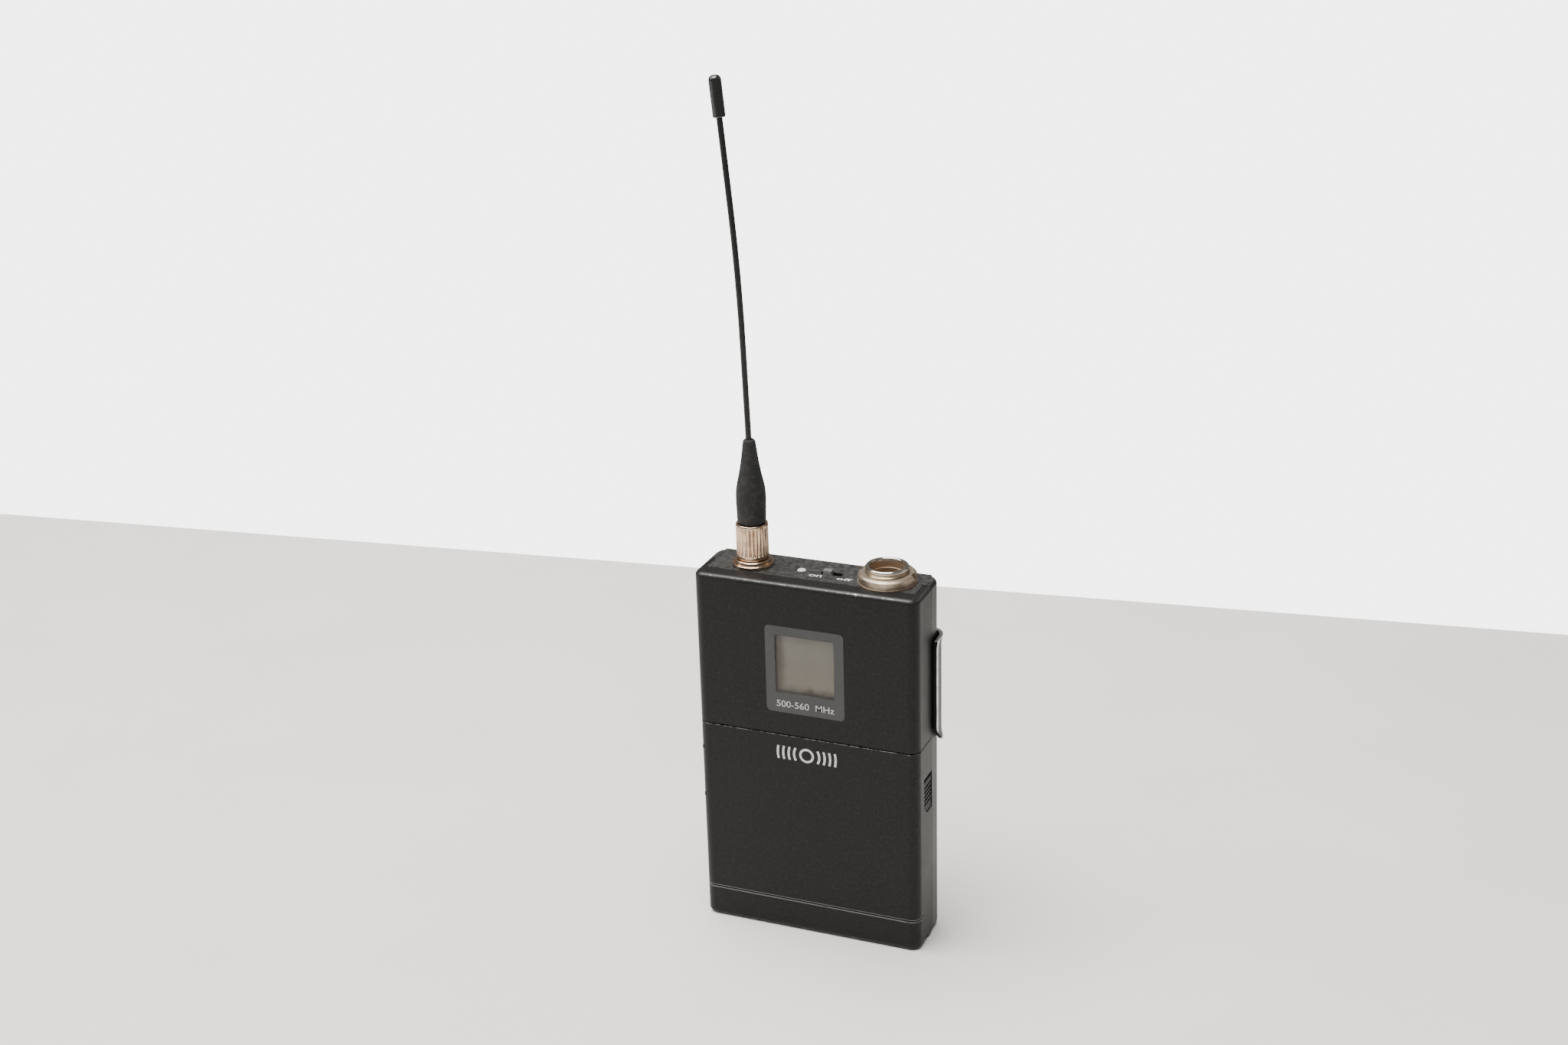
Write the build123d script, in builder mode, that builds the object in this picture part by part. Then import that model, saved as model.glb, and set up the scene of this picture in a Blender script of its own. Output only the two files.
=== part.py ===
from build123d import *
from math import cos, radians, sin, tan
import os

os.makedirs("parts", exist_ok=True)

# Wireless bodypack transmitter. All sizes are in millimetres.
# Frame: origin at the centre of the case's bottom face, +Z up, front face towards -Y, +X to the right.

# ---- Driving dimensions: case ----
CASE_W = 60.5
CASE_D = 18.1
CASE_H = 100.0
WALL = 1.2
SHELL_DEPTH = 11.0        # front face back to the side seam
SPLIT_Z = 57.5            # top of the battery door
SEAM_GAP = 0.12
SPLIT_GAP = 0.4           # open line over the battery door
FRONT_CORNER_R = 2.7
REAR_CORNER_R = 3.4
TOP_EDGE_R = 1.3
BOTTOM_EDGE_R = 1.5

# ---- Clearances ----
FIT_GAP = 0.1             # loose fit between parts that are assembled together
RUN_GAP = 0.05            # radial running fit of a shaft or thread
MOVE_GAP = 0.3            # clear air beside a moving piece

# ---- Top plate and what stands on it ----
PLATE_T = 1.6
PLATE_FROM_SIDE = 2.05
CONNECTOR_DEPTH = 10.2    # connector row, from the front face
JACK_FROM_SIDE = 11.35
ANTENNA_FROM_SIDE = 12.65
LED_X = -4.2
LED_R = 1.2
SLOT_X0 = 1.2
SLOT_X1 = 6.9
SLOT_W = 2.0
KNOB_W = 2.2
KNOB_D = 1.6
KNOB_RISE = 1.1
KNOB_END_GAP = 0.75
SWITCH_TRAVEL = 2.2
SWITCH_W = 10.5
SWITCH_D = 6.0
SWITCH_H = 4.8

# ---- Microphone jack ----
JACK_THREAD_R = 5.55
JACK_BORE_R = 4.4
JACK_RISE = 4.5
JACK_MOUTH = 2.3          # clear stretch of the bore above the pins
JACK_KEY_BORE_R = 4.2
JACK_BODY_R = 4.6
JACK_FLANGE_OVER = 0.75   # wider than the thread
JACK_FLANGE_T = 1.5
JACK_DEPTH = 11.0         # below the plate's top
NUT_OVER = 1.85           # wider than the thread
NUT_T = 2.3
WASHER_OVER = 2.05        # wider than the thread
WASHER_T = 0.4
PIN_R = 0.5
PIN_CIRCLE_R = 2.3

# ---- Antenna ----
ANT_FLANGE_R = 5.4
ANT_FLANGE_T = 1.0
ANT_STEP_R = 4.8
ANT_STEP_T = 0.9
ANT_THREAD_R = 3.1
ANT_THREAD_H = 4.5
ANT_CORE_R = 2.0
COLLAR_R = 4.15
COLLAR_H = 9.5
BOOT_H = 22.2
BOOT_MAX_R = 3.85
BOOT_TOP_R = 1.5
WHIP_R = 0.75
WHIP_LEAN_UP = 30.0       # above the case, where the rod starts to lean
WHIP_BEND_UP = 76.0       # above the case, where it bends further
WHIP_END_UP = 119.6       # above the case, inside the tip
WHIP_LEAN = 1.6           # degrees towards -X
WHIP_BEND = 5.3
TIP_R = 1.55
TIP_L = 10.1

# ---- Display ----
BEZEL_W = 21.4
BEZEL_H = 24.1
BEZEL_T = 0.8
BEZEL_ABOVE_SPLIT = 6.6
LENS_SIDE = 16.1
LENS_T = 0.6
LENS_ABOVE_BEZEL = 5.5
LCD_W = 24.0
LCD_H = 26.0
LCD_T = 2.4

# ---- Boards and screws ----
BOARD_T = 1.2
BOARD_W = 44.0
BOARD_TOP_GAP = 3.6
RF_BOARD_Y = 4.4
RF_BOARD_H = 22.5
SHIELD_T = 0.3
CASE_SCREW_R = 0.95
CASE_SCREW_HEAD_R = 1.9
CASE_SCREW_INSET = 5.65   # from the case's side
BOSS_R = 2.0
BOARD_SCREW_R = 0.75
BOARD_SCREW_HEAD_R = 1.4
POST_R = 1.5
POST_INSET = 2.5          # from the board's edge

# ---- Battery bay ----
CELL_R = 7.25
CELL_L = 50.5
CELL_NUB_R = 2.75
CELL_NUB_H = 1.0
CELL_X = 17.3
CELL_FLOOR = 4.1
PARTITION_T = 1.2
CONTACT_T = 0.3
PANEL_HALF_W = 8.6
PANEL_FRONT = 2.15        # from the front face
PANEL_T = 1.2
BUTTON_R = 2.2
BUTTON_RISE = 0.6
BUTTON_TRAVEL = 0.4
ENTER_Z = 47.0
MENU_Z = 40.0
IR_Z = 31.0

# ---- Door, hinge and latches ----
HINGE_R = 1.75            # knuckle radius, tangent to the bottom and to the seam
ROD_R = 0.6
LUG_W = 3.0
LUG_IN_X = 11.0
GROOVE_Z = 8.9
GROOVE_W = 0.6
GROOVE_DEPTH = 0.25
GROOVE_WRAP = 4.5
LATCH_LOW = 38.0
LATCH_HIGH = 48.2
LATCH_FRONT = 5.0         # from the front face
LATCH_CUT = 2.2           # slanted lower front corner
LATCH_T = 1.1
RIB_T = 1.0

# ---- Belt clip ----
CLIP_T = 0.9
CLIP_GAP = 0.3            # sheet to case
CLIP_LOW = 55.8
CLIP_HIGH = 84.8
CLIP_FLARE = 0.4
CLIP_FLARE_H = 3.2
EAR_START = 0.3           # behind the seam
EAR_RISE = 4.4            # slant of the ears' lower edge
TONGUE_W = 30.0
TONGUE_LOW = 22.0
FOLD_Z = 88.0
BELT_GAP = 5.5            # clear gap between the saddle's flare and the tongue
LIP_H = 6.0
LIP_OUT = 2.0
LIP_CORNER_R = 4.0
DIMPLE_R = 1.2
DIMPLE_Z = 70.0

# ---- Places worked out from the driving dimensions ----
front_y = -CASE_D / 2
rear_y = CASE_D / 2
seam_y = front_y + SHELL_DEPTH
side_x = CASE_W / 2
inner_x = side_x - WALL
inner_front = front_y + WALL
inner_rear = rear_y - WALL
plate_under = CASE_H - PLATE_T
row_y = front_y + CONNECTOR_DEPTH
jack_x = side_x - JACK_FROM_SIDE
jack_flange_r = JACK_THREAD_R + JACK_FLANGE_OVER
nut_r = JACK_THREAD_R + NUT_OVER
washer_r = JACK_THREAD_R + WASHER_OVER
antenna_x = -(side_x - ANTENNA_FROM_SIDE)
hinge_y = seam_y - HINGE_R
hinge_z = HINGE_R
far = 3 * CASE_H


def block(x, y, z, mode=Mode.ADD):
    """A box between two values on each axis."""
    with Locations(((x[0] + x[1]) / 2, (y[0] + y[1]) / 2, (z[0] + z[1]) / 2)):
        Box(x[1] - x[0], y[1] - y[0], z[1] - z[0], mode=mode)


def upright(x, y, radius, z, mode=Mode.ADD):
    """A cylinder along Z between two heights."""
    with Locations((x, y, (z[0] + z[1]) / 2)):
        Cylinder(radius, z[1] - z[0], mode=mode)


def through(x, z, radius, y, mode=Mode.ADD):
    """A cylinder along Y between two depths."""
    with Locations((x, (y[0] + y[1]) / 2, z)):
        Cylinder(radius, y[1] - y[0], rotation=(90, 0, 0), mode=mode)


def crosswise(y, z, radius, x, mode=Mode.ADD):
    """A cylinder along X between two places."""
    with Locations(((x[0] + x[1]) / 2, y, z)):
        Cylinder(radius, x[1] - x[0], rotation=(0, 90, 0), mode=mode)


def turned(x, y, outline, mode=Mode.ADD):
    """A solid of revolution about the upright axis at x, y from (radius, height) points."""
    with BuildSketch(Plane((x, y, 0), x_dir=(1, 0, 0), z_dir=(0, -1, 0))) as profile:
        with BuildLine():
            Polyline(*outline, close=True)
        make_face()
    revolve(profile.sketch, axis=Axis((x, y, 0), (0, 0, 1)), mode=mode)


def save(builder, name):
    """Label the piece and write it."""
    builder.part.label = name
    export_step(builder.part, f"parts/{name}.step")


def case_block(inset):
    """The rounded form of the whole case, drawn in by inset on every side."""
    with BuildPart() as whole:
        with BuildSketch(Plane.XY.offset(inset)) as outline:
            Rectangle(CASE_W - 2 * inset, CASE_D - 2 * inset)
            fillet(outline.vertices().group_by(Axis.Y)[0], FRONT_CORNER_R - inset)
            fillet(outline.vertices().group_by(Axis.Y)[-1], REAR_CORNER_R - inset)
        extrude(amount=CASE_H - 2 * inset)
        if inset < BOTTOM_EDGE_R:
            fillet(whole.edges().group_by(Axis.Z)[0], BOTTOM_EDGE_R - inset)
        if inset < TOP_EDGE_R:
            fillet(whole.edges().group_by(Axis.Z)[-1], TOP_EDGE_R - inset)
    return whole.part


def case_shell():
    """The case's wall, closed all round."""
    with BuildPart() as shell:
        add(case_block(0))
        add(case_block(WALL), mode=Mode.SUBTRACT)
    return shell.part


# ---- Rear case: cast chassis with the back, the rear sides, the top plate and the bay's partition ----
screw_x = side_x - CASE_SCREW_INSET
screw_low_z = SPLIT_Z + BOSS_R + 2.0
screw_high_z = CASE_H - JACK_DEPTH - BOSS_R - 2.0
screw_places = [(x, z) for x in (-screw_x, screw_x) for z in (screw_low_z, screw_high_z)]
rf_board_low = SPLIT_Z + 2.0
rf_board_high = rf_board_low + RF_BOARD_H
rf_half_w = BOARD_W / 2 - 1.0
rf_post_x = rf_half_w - POST_INSET / 2
rf_posts = [(x, z) for x in (-rf_post_x, rf_post_x) for z in (rf_board_low + 1.6, rf_board_high - 1.6)]
countersink_depth = CASE_SCREW_HEAD_R - CASE_SCREW_R
lug_out_x = inner_x - MOVE_GAP - LUG_W / 2
lug_places = [-lug_out_x, -LUG_IN_X, LUG_IN_X, lug_out_x]
plate_half_w = side_x - PLATE_FROM_SIDE
plate_y0 = row_y - JACK_THREAD_R + RUN_GAP
partition_low = SPLIT_Z - PARTITION_T
tray_top = CELL_FLOOR - CONTACT_T
catch_z = (LATCH_LOW + LATCH_HIGH) / 2
dimple_y = seam_y + 2.1


def partition_slab():
    """The bay's top wall, drawn in from the case's walls by the fitting gap."""
    with BuildPart() as slab:
        add(case_block(WALL + FIT_GAP))
        block((-far, far), (-far, far), (-far, partition_low), Mode.SUBTRACT)
        block((-far, far), (-far, far), (SPLIT_Z, far), Mode.SUBTRACT)
    return slab.part


def rear_shell():
    """The part of the case's wall behind the seam."""
    with BuildPart() as shell:
        add(case_shell())
        block((-far, far), (-far, seam_y + SEAM_GAP / 2), (-far, far), Mode.SUBTRACT)
    return shell.part


with BuildPart() as rear_case:
    add(rear_shell())
    block((-plate_half_w, plate_half_w), (plate_y0, inner_rear + WALL / 2), (plate_under, CASE_H))
    # partition over the battery bay, clear of the door's corners in front and joined to the walls behind
    add(partition_slab())
    partition_z = (partition_low, SPLIT_Z)
    to_side = inner_x + WALL / 2
    to_back = inner_rear + WALL / 2
    block((-to_side, to_side), (seam_y + SEAM_GAP / 2, rear_y - REAR_CORNER_R), partition_z)
    block((-inner_x + REAR_CORNER_R, inner_x - REAR_CORNER_R), (0, to_back), partition_z)
    # ledge that carries the lower battery contact, behind the hinge
    ledge_x = CELL_X + CELL_R
    block((-ledge_x, ledge_x), (seam_y + MOVE_GAP, to_back), (WALL / 2, tray_top))
    # hinge lugs
    for lug_x in lug_places:
        lug = (lug_x - LUG_W / 2, lug_x + LUG_W / 2)
        with BuildSketch(Plane.YZ.offset(lug[0])):
            with Locations((hinge_y, hinge_z)):
                Circle(HINGE_R)
            with Locations((hinge_y, 0)):
                Rectangle(HINGE_R + 1.0, 2 * HINGE_R - 1.0, align=(Align.MIN, Align.MIN))
        extrude(amount=LUG_W)
    crosswise(hinge_y, hinge_z, ROD_R, (-lug_out_x - LUG_W / 2, lug_out_x + LUG_W / 2), Mode.SUBTRACT)
    # posts for the radio board
    for post_x, post_z in rf_posts:
        through(post_x, post_z, POST_R, (RF_BOARD_Y + BOARD_T, inner_rear + WALL / 2))
        through(post_x, post_z, BOARD_SCREW_R, (RF_BOARD_Y + BOARD_T, inner_rear), Mode.SUBTRACT)
    # countersunk screw holes in the back
    for hole_x, hole_z in screw_places:
        through(hole_x, hole_z, CASE_SCREW_R + FIT_GAP, (inner_rear - WALL, rear_y + WALL), Mode.SUBTRACT)
        with Locations(Plane((hole_x, rear_y - countersink_depth / 2, hole_z), z_dir=(0, 1, 0))):
            Cone(CASE_SCREW_R + FIT_GAP, CASE_SCREW_HEAD_R + FIT_GAP, countersink_depth, mode=Mode.SUBTRACT)
    # pockets in the side walls for the latch noses, and holes for the clip's dimples
    for side in (-1, 1):
        pocket = sorted((side * (inner_x - 0.1), side * (inner_x + WALL / 2)))
        block(pocket, (seam_y + 1.0, seam_y + 3.0), (catch_z - 2.4, catch_z + 2.4), Mode.SUBTRACT)
        dimple = sorted((side * (inner_x - 1.0), side * (side_x + 1.0)))
        crosswise(dimple_y, DIMPLE_Z, DIMPLE_R + FIT_GAP, dimple, Mode.SUBTRACT)
    # holes of the top plate
    upright(jack_x, row_y, JACK_THREAD_R + FIT_GAP, (plate_under - 1, CASE_H + 1), Mode.SUBTRACT)
    upright(antenna_x, row_y, ANT_THREAD_R + FIT_GAP, (plate_under - 1, CASE_H + 1), Mode.SUBTRACT)
    upright(LED_X, row_y, LED_R + RUN_GAP, (plate_under - 1, CASE_H + 1), Mode.SUBTRACT)
    # room for the jack's flange under the plate
    flange_z = (plate_under - JACK_FLANGE_T - FIT_GAP, plate_under)
    upright(jack_x, row_y, jack_flange_r + FIT_GAP, flange_z, Mode.SUBTRACT)
    with BuildSketch(Plane.XY.offset(CASE_H + 1)):
        with Locations(((SLOT_X0 + SLOT_X1) / 2, row_y)):
            RectangleRounded(SLOT_X1 - SLOT_X0, SLOT_W, SLOT_W / 4)
    extrude(amount=-PLATE_T - 2, mode=Mode.SUBTRACT)
save(rear_case, "rear_case")

# ---- Front case: upper half of the front, with the display opening ----
bezel_low = SPLIT_Z + BEZEL_ABOVE_SPLIT
bezel_mid = bezel_low + BEZEL_H / 2
lens_low = bezel_low + LENS_ABOVE_BEZEL
lens_mid = lens_low + LENS_SIDE / 2
pocket_floor = front_y + BEZEL_T + RUN_GAP
board_front = inner_front + LCD_T + RUN_GAP
board_rear = board_front + BOARD_T
board_low = SPLIT_Z + 1.7
board_high = CASE_H - BOARD_TOP_GAP
board_post_x = BOARD_W / 2 - POST_INSET
board_post_high = CASE_H - JACK_DEPTH - BOSS_R
board_posts = [(x, z) for x in (-board_post_x, board_post_x) for z in (board_low + 2.2, board_post_high)]

with BuildPart() as front_case:
    add(case_shell())
    block((-far, far), (seam_y - SEAM_GAP / 2, far), (-far, far), Mode.SUBTRACT)
    block((-far, far), (-far, far), (-far, SPLIT_Z + SPLIT_GAP), Mode.SUBTRACT)
    # notch that the rear case's top plate fills
    notch_x = plate_half_w + SEAM_GAP
    block((-notch_x, notch_x), (plate_y0 - SEAM_GAP, far), (plate_under - SEAM_GAP, far), Mode.SUBTRACT)
    # screw bosses that reach back to the rear wall
    for boss_x, boss_z in screw_places:
        through(boss_x, boss_z, BOSS_R, (inner_front - WALL / 2, inner_rear))
        through(boss_x, boss_z, CASE_SCREW_R, (0, inner_rear), Mode.SUBTRACT)
    add(rear_shell(), mode=Mode.SUBTRACT)
    # posts for the main board
    for post_x, post_z in board_posts:
        through(post_x, post_z, POST_R, (inner_front - WALL / 2, board_front))
        through(post_x, post_z, BOARD_SCREW_R, (inner_front + 0.4, board_front), Mode.SUBTRACT)
    # stepped opening for the display
    with BuildSketch(Plane.XZ.offset(-pocket_floor)):
        with Locations((0, bezel_mid)):
            RectangleRounded(BEZEL_W + 2 * RUN_GAP, BEZEL_H + 2 * RUN_GAP, 1.25)
    extrude(amount=WALL, mode=Mode.SUBTRACT)
    window = LENS_SIDE / 2 + 0.7
    window_z = (lens_mid - window, lens_mid + window)
    block((-window, window), (front_y, inner_front + 0.5), window_z, Mode.SUBTRACT)
save(front_case, "front_case")

# ---- Display: bezel, clear lens and the display module behind them ----
with BuildPart() as display_bezel:
    with BuildSketch(Plane.XZ.offset(-front_y)):
        with Locations((0, bezel_mid)):
            RectangleRounded(BEZEL_W, BEZEL_H, 1.2)
        with Locations((0, lens_mid)):
            RectangleRounded(LENS_SIDE, LENS_SIDE, 0.4, mode=Mode.SUBTRACT)
    extrude(amount=-BEZEL_T)
save(display_bezel, "display_bezel")

with BuildPart() as display_lens:
    with BuildSketch(Plane.XZ.offset(-front_y)):
        with Locations((0, lens_mid)):
            RectangleRounded(LENS_SIDE - 2 * RUN_GAP, LENS_SIDE - 2 * RUN_GAP, 0.35)
    extrude(amount=-LENS_T)
save(display_lens, "display_lens")

with BuildPart() as lcd_module:
    lcd_z = (lens_mid - LCD_H / 2, lens_mid + LCD_H / 2)
    block((-LCD_W / 2, LCD_W / 2), (inner_front, inner_front + LCD_T), lcd_z)
    glass = LENS_SIDE / 2 + 0.5
    block((-glass, glass), (pocket_floor, inner_front), (lens_mid - glass, lens_mid + glass))
save(lcd_module, "lcd_module")

# ---- Main board and its screws ----
chip_t = 0.8
with BuildPart() as main_board:
    block((-BOARD_W / 2, BOARD_W / 2), (board_front, board_rear), (board_low, board_high))
    block((-4.5, 4.5), (board_rear, board_rear + chip_t), (board_low + 18, board_low + 27))
    block((-17, -11), (board_rear, board_rear + chip_t), (board_low + 6, board_low + 12))
    block((5, 10), (board_rear, board_rear + chip_t), (board_low + 8, board_low + 14))
    for post_x, post_z in board_posts:
        through(post_x, post_z, BOARD_SCREW_R + FIT_GAP, (board_front - 1, board_rear + 1), Mode.SUBTRACT)
save(main_board, "main_board")


def board_screw(x, z, seat, tip):
    """Pan-head screw along Y: seat is where its head bears, tip where the shank ends."""
    forward = 1 if tip < seat else -1
    head = sorted((seat, seat + forward * 0.6))
    shank = sorted((seat, tip))
    through(x, z, BOARD_SCREW_HEAD_R, head)
    through(x, z, BOARD_SCREW_R, shank)
    slot = sorted((seat + forward * 0.4, seat + forward * 0.8))
    block((x - 0.9, x + 0.9), slot, (z - 0.2, z + 0.2), Mode.SUBTRACT)
    block((x - 0.2, x + 0.2), slot, (z - 0.9, z + 0.9), Mode.SUBTRACT)


with BuildPart() as board_screws:
    for post_x, post_z in board_posts:
        board_screw(post_x, post_z, board_rear, inner_front + 0.6)
    for post_x, post_z in rf_posts:
        board_screw(post_x, post_z, RF_BOARD_Y, inner_rear - 0.4)
save(board_screws, "board_screws")

# ---- Radio board with its shield can, and the header that joins the two boards ----
with BuildPart() as radio_board:
    block((-rf_half_w, rf_half_w), (RF_BOARD_Y, RF_BOARD_Y + BOARD_T), (rf_board_low, rf_board_high))
    for post_x, post_z in rf_posts:
        post_y = (RF_BOARD_Y - 1, RF_BOARD_Y + BOARD_T + 1)
        through(post_x, post_z, BOARD_SCREW_R + FIT_GAP, post_y, Mode.SUBTRACT)
save(radio_board, "radio_board")

can_x = (-rf_half_w + 4.0, 8.0)
can_y = (RF_BOARD_Y - 4.0, RF_BOARD_Y)
can_z = (rf_board_low + 1.0, rf_board_high - 1.0)
with BuildPart() as shield_can:
    block(can_x, can_y, can_z)
    cavity_x = (can_x[0] + SHIELD_T, can_x[1] - SHIELD_T)
    cavity_z = (can_z[0] + SHIELD_T, can_z[1] - SHIELD_T)
    block(cavity_x, (can_y[0] + SHIELD_T, can_y[1] + 1), cavity_z, Mode.SUBTRACT)
save(shield_can, "shield_can")

with BuildPart() as board_header:
    block((10.5, 17.5), (board_rear, RF_BOARD_Y), (rf_board_low + 1.0, rf_board_low + 5.0))
save(board_header, "board_header")

# ---- Case screws: four countersunk screws from the back ----
with BuildPart() as case_screws:
    for hole_x, hole_z in screw_places:
        through(hole_x, hole_z, CASE_SCREW_R, (1.0, rear_y - 0.1))
        with Locations(Plane((hole_x, rear_y - countersink_depth / 2, hole_z), z_dir=(0, 1, 0))):
            Cone(CASE_SCREW_R, CASE_SCREW_HEAD_R, countersink_depth)
        slot_y = (rear_y - 0.6, rear_y + 1)
        block((hole_x - 1.1, hole_x + 1.1), slot_y, (hole_z - 0.25, hole_z + 0.25), Mode.SUBTRACT)
        block((hole_x - 0.25, hole_x + 0.25), slot_y, (hole_z - 1.1, hole_z + 1.1), Mode.SUBTRACT)
save(case_screws, "case_screws")

# ---- Indicator lens ----
with BuildPart() as led_lens:
    upright(LED_X, row_y, LED_R, (plate_under - 0.1, CASE_H + 0.15))
    fillet(led_lens.edges().group_by(Axis.Z)[-1], 0.5)
    upright(LED_X, row_y, LED_R + 0.5, (plate_under - 0.8, plate_under))
save(led_lens, "led_lens")

# ---- On/off switch: housing under the plate and sliding knob ----
slot_mid = (SLOT_X0 + SLOT_X1) / 2
knob_x = SLOT_X0 + KNOB_END_GAP + KNOB_W / 2
switch_top = plate_under - RUN_GAP
foot_top = switch_top - 1.2
foot_half = KNOB_W / 2 + 1.0
foot_t = 0.9
track = (knob_x - foot_half - MOVE_GAP, knob_x + foot_half + SWITCH_TRAVEL + MOVE_GAP)
with BuildPart() as switch_body:
    body_y = (row_y - SWITCH_D / 2, row_y + SWITCH_D / 2)
    block((slot_mid - SWITCH_W / 2, slot_mid + SWITCH_W / 2), body_y, (switch_top - SWITCH_H, switch_top))
    track_y = (row_y - KNOB_D / 2 - 0.9, row_y + KNOB_D / 2 + 0.9)
    block(track, track_y, (foot_top - foot_t - 0.1, foot_top + 0.1), Mode.SUBTRACT)
    slot_y = (row_y - SLOT_W / 2, row_y + SLOT_W / 2)
    block((SLOT_X0, SLOT_X1), slot_y, (foot_top, switch_top + 1), Mode.SUBTRACT)
save(switch_body, "switch_body")

with BuildPart() as switch_knob:
    knob_y = (row_y - KNOB_D / 2, row_y + KNOB_D / 2)
    block((knob_x - KNOB_W / 2, knob_x + KNOB_W / 2), knob_y, (foot_top - 0.2, CASE_H + KNOB_RISE))
    fillet(switch_knob.edges().group_by(Axis.Z)[-1], 0.25)
    for groove in (-0.55, 0, 0.55):
        groove_x = (knob_x + groove - 0.12, knob_x + groove + 0.12)
        block(groove_x, (-far, far), (CASE_H + KNOB_RISE - 0.2, CASE_H + KNOB_RISE + 1), Mode.SUBTRACT)
    foot_y = (row_y - KNOB_D / 2 - 0.7, row_y + KNOB_D / 2 + 0.7)
    block((knob_x - foot_half, knob_x + foot_half), foot_y, (foot_top - foot_t, foot_top))
save(switch_knob, "switch_knob")

# ---- Microphone jack: shell, insert with four pins, washer and ring nut ----
jack_rim = CASE_H + JACK_RISE
jack_low = CASE_H - JACK_DEPTH
mouth_low = jack_rim - 0.3 - JACK_MOUTH
pin_top = mouth_low - 0.4
insert_top = pin_top - 5.0
with BuildPart() as mic_jack_shell:
    jack_outline = [
        (JACK_KEY_BORE_R, jack_low),
        (JACK_BODY_R, jack_low),
        (JACK_BODY_R, plate_under - JACK_FLANGE_T),
        (jack_flange_r, plate_under - JACK_FLANGE_T),
        (jack_flange_r, plate_under),
        (JACK_THREAD_R, plate_under),
        (JACK_THREAD_R, jack_rim - 1.5),
        (JACK_THREAD_R - 0.35, jack_rim - 1.3),
        (JACK_THREAD_R - 0.35, jack_rim - 1.0),
        (JACK_THREAD_R, jack_rim - 0.7),
        (JACK_THREAD_R, jack_rim - 0.3),
        (JACK_THREAD_R - 0.3, jack_rim),
        (JACK_BORE_R + 0.3, jack_rim),
        (JACK_BORE_R, jack_rim - 0.3),
        (JACK_BORE_R, mouth_low),
        (JACK_KEY_BORE_R, mouth_low),
    ]
    turned(jack_x, row_y, jack_outline)
    key_y = (row_y + JACK_KEY_BORE_R - 0.5, row_y + JACK_BORE_R)
    block((jack_x - 0.6, jack_x + 0.6), key_y, (insert_top, mouth_low), Mode.SUBTRACT)
save(mic_jack_shell, "mic_jack_shell")

pin_places = [
    (jack_x + PIN_CIRCLE_R * cos(radians(turn)), row_y + PIN_CIRCLE_R * sin(radians(turn)))
    for turn in (45, 135, 225, 315)
]
with BuildPart() as mic_jack_insert:
    upright(jack_x, row_y, JACK_KEY_BORE_R, (jack_low, insert_top))
    for pin_x, pin_y in pin_places:
        upright(pin_x, pin_y, PIN_R, (jack_low - 1, insert_top + 1), Mode.SUBTRACT)
save(mic_jack_insert, "mic_jack_insert")

with BuildPart() as mic_jack_pins:
    for pin_x, pin_y in pin_places:
        upright(pin_x, pin_y, PIN_R, (jack_low - 2.0, pin_top))
    fillet(mic_jack_pins.edges().group_by(Axis.Z)[-1], 0.3)
save(mic_jack_pins, "mic_jack_pins")

with BuildPart() as jack_washer:
    upright(jack_x, row_y, washer_r, (CASE_H, CASE_H + WASHER_T))
    upright(jack_x, row_y, JACK_THREAD_R + FIT_GAP, (CASE_H - 1, CASE_H + 1), Mode.SUBTRACT)
save(jack_washer, "jack_washer")

nut_low = CASE_H + WASHER_T
with BuildPart() as jack_nut:
    upright(jack_x, row_y, nut_r, (nut_low, nut_low + NUT_T))
    chamfer(jack_nut.edges().group_by(Axis.Z)[-1], 0.5)
    upright(jack_x, row_y, JACK_THREAD_R + RUN_GAP, (nut_low - 1, nut_low + NUT_T + 1), Mode.SUBTRACT)
    for side in (-1, 1):
        notch = sorted((jack_x + side * (nut_r - 0.9), jack_x + side * (nut_r + 1)))
        block(notch, (row_y - 0.8, row_y + 0.8), (nut_low + 0.6, nut_low + NUT_T + 1), Mode.SUBTRACT)
save(jack_nut, "jack_nut")

# ---- Antenna connector on the top plate: body, inner nut and insulator ----
thread_low = CASE_H + ANT_FLANGE_T + ANT_STEP_T
thread_high = thread_low + ANT_THREAD_H
tail_low = plate_under - 4.4
with BuildPart() as antenna_connector:
    connector_outline = [
        (ANT_CORE_R, tail_low),
        (ANT_THREAD_R, tail_low),
        (ANT_THREAD_R, CASE_H),
        (ANT_FLANGE_R - 0.2, CASE_H),
        (ANT_FLANGE_R, CASE_H + 0.2),
        (ANT_FLANGE_R, CASE_H + ANT_FLANGE_T - 0.2),
        (ANT_FLANGE_R - 0.2, CASE_H + ANT_FLANGE_T),
        (ANT_STEP_R, CASE_H + ANT_FLANGE_T),
        (ANT_STEP_R, thread_low - 0.2),
        (ANT_STEP_R - 0.2, thread_low),
        (ANT_THREAD_R, thread_low),
        (ANT_THREAD_R, thread_high - 0.3),
        (ANT_THREAD_R - 0.3, thread_high),
        (ANT_CORE_R, thread_high),
    ]
    turned(antenna_x, row_y, connector_outline)
save(antenna_connector, "antenna_connector")

with BuildPart() as antenna_nut:
    with BuildSketch(Plane.XY.offset(plate_under)):
        with Locations((antenna_x, row_y)):
            RegularPolygon(4.6, 6)
            Circle(ANT_THREAD_R + RUN_GAP, mode=Mode.SUBTRACT)
    extrude(amount=-2.0)
save(antenna_nut, "antenna_nut")

pin_socket_r = PIN_R + 0.1
with BuildPart() as antenna_insulator:
    upright(antenna_x, row_y, ANT_CORE_R, (tail_low, thread_high - 0.8))
    upright(antenna_x, row_y, pin_socket_r, (thread_low, thread_high), Mode.SUBTRACT)
save(antenna_insulator, "antenna_insulator")

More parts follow.
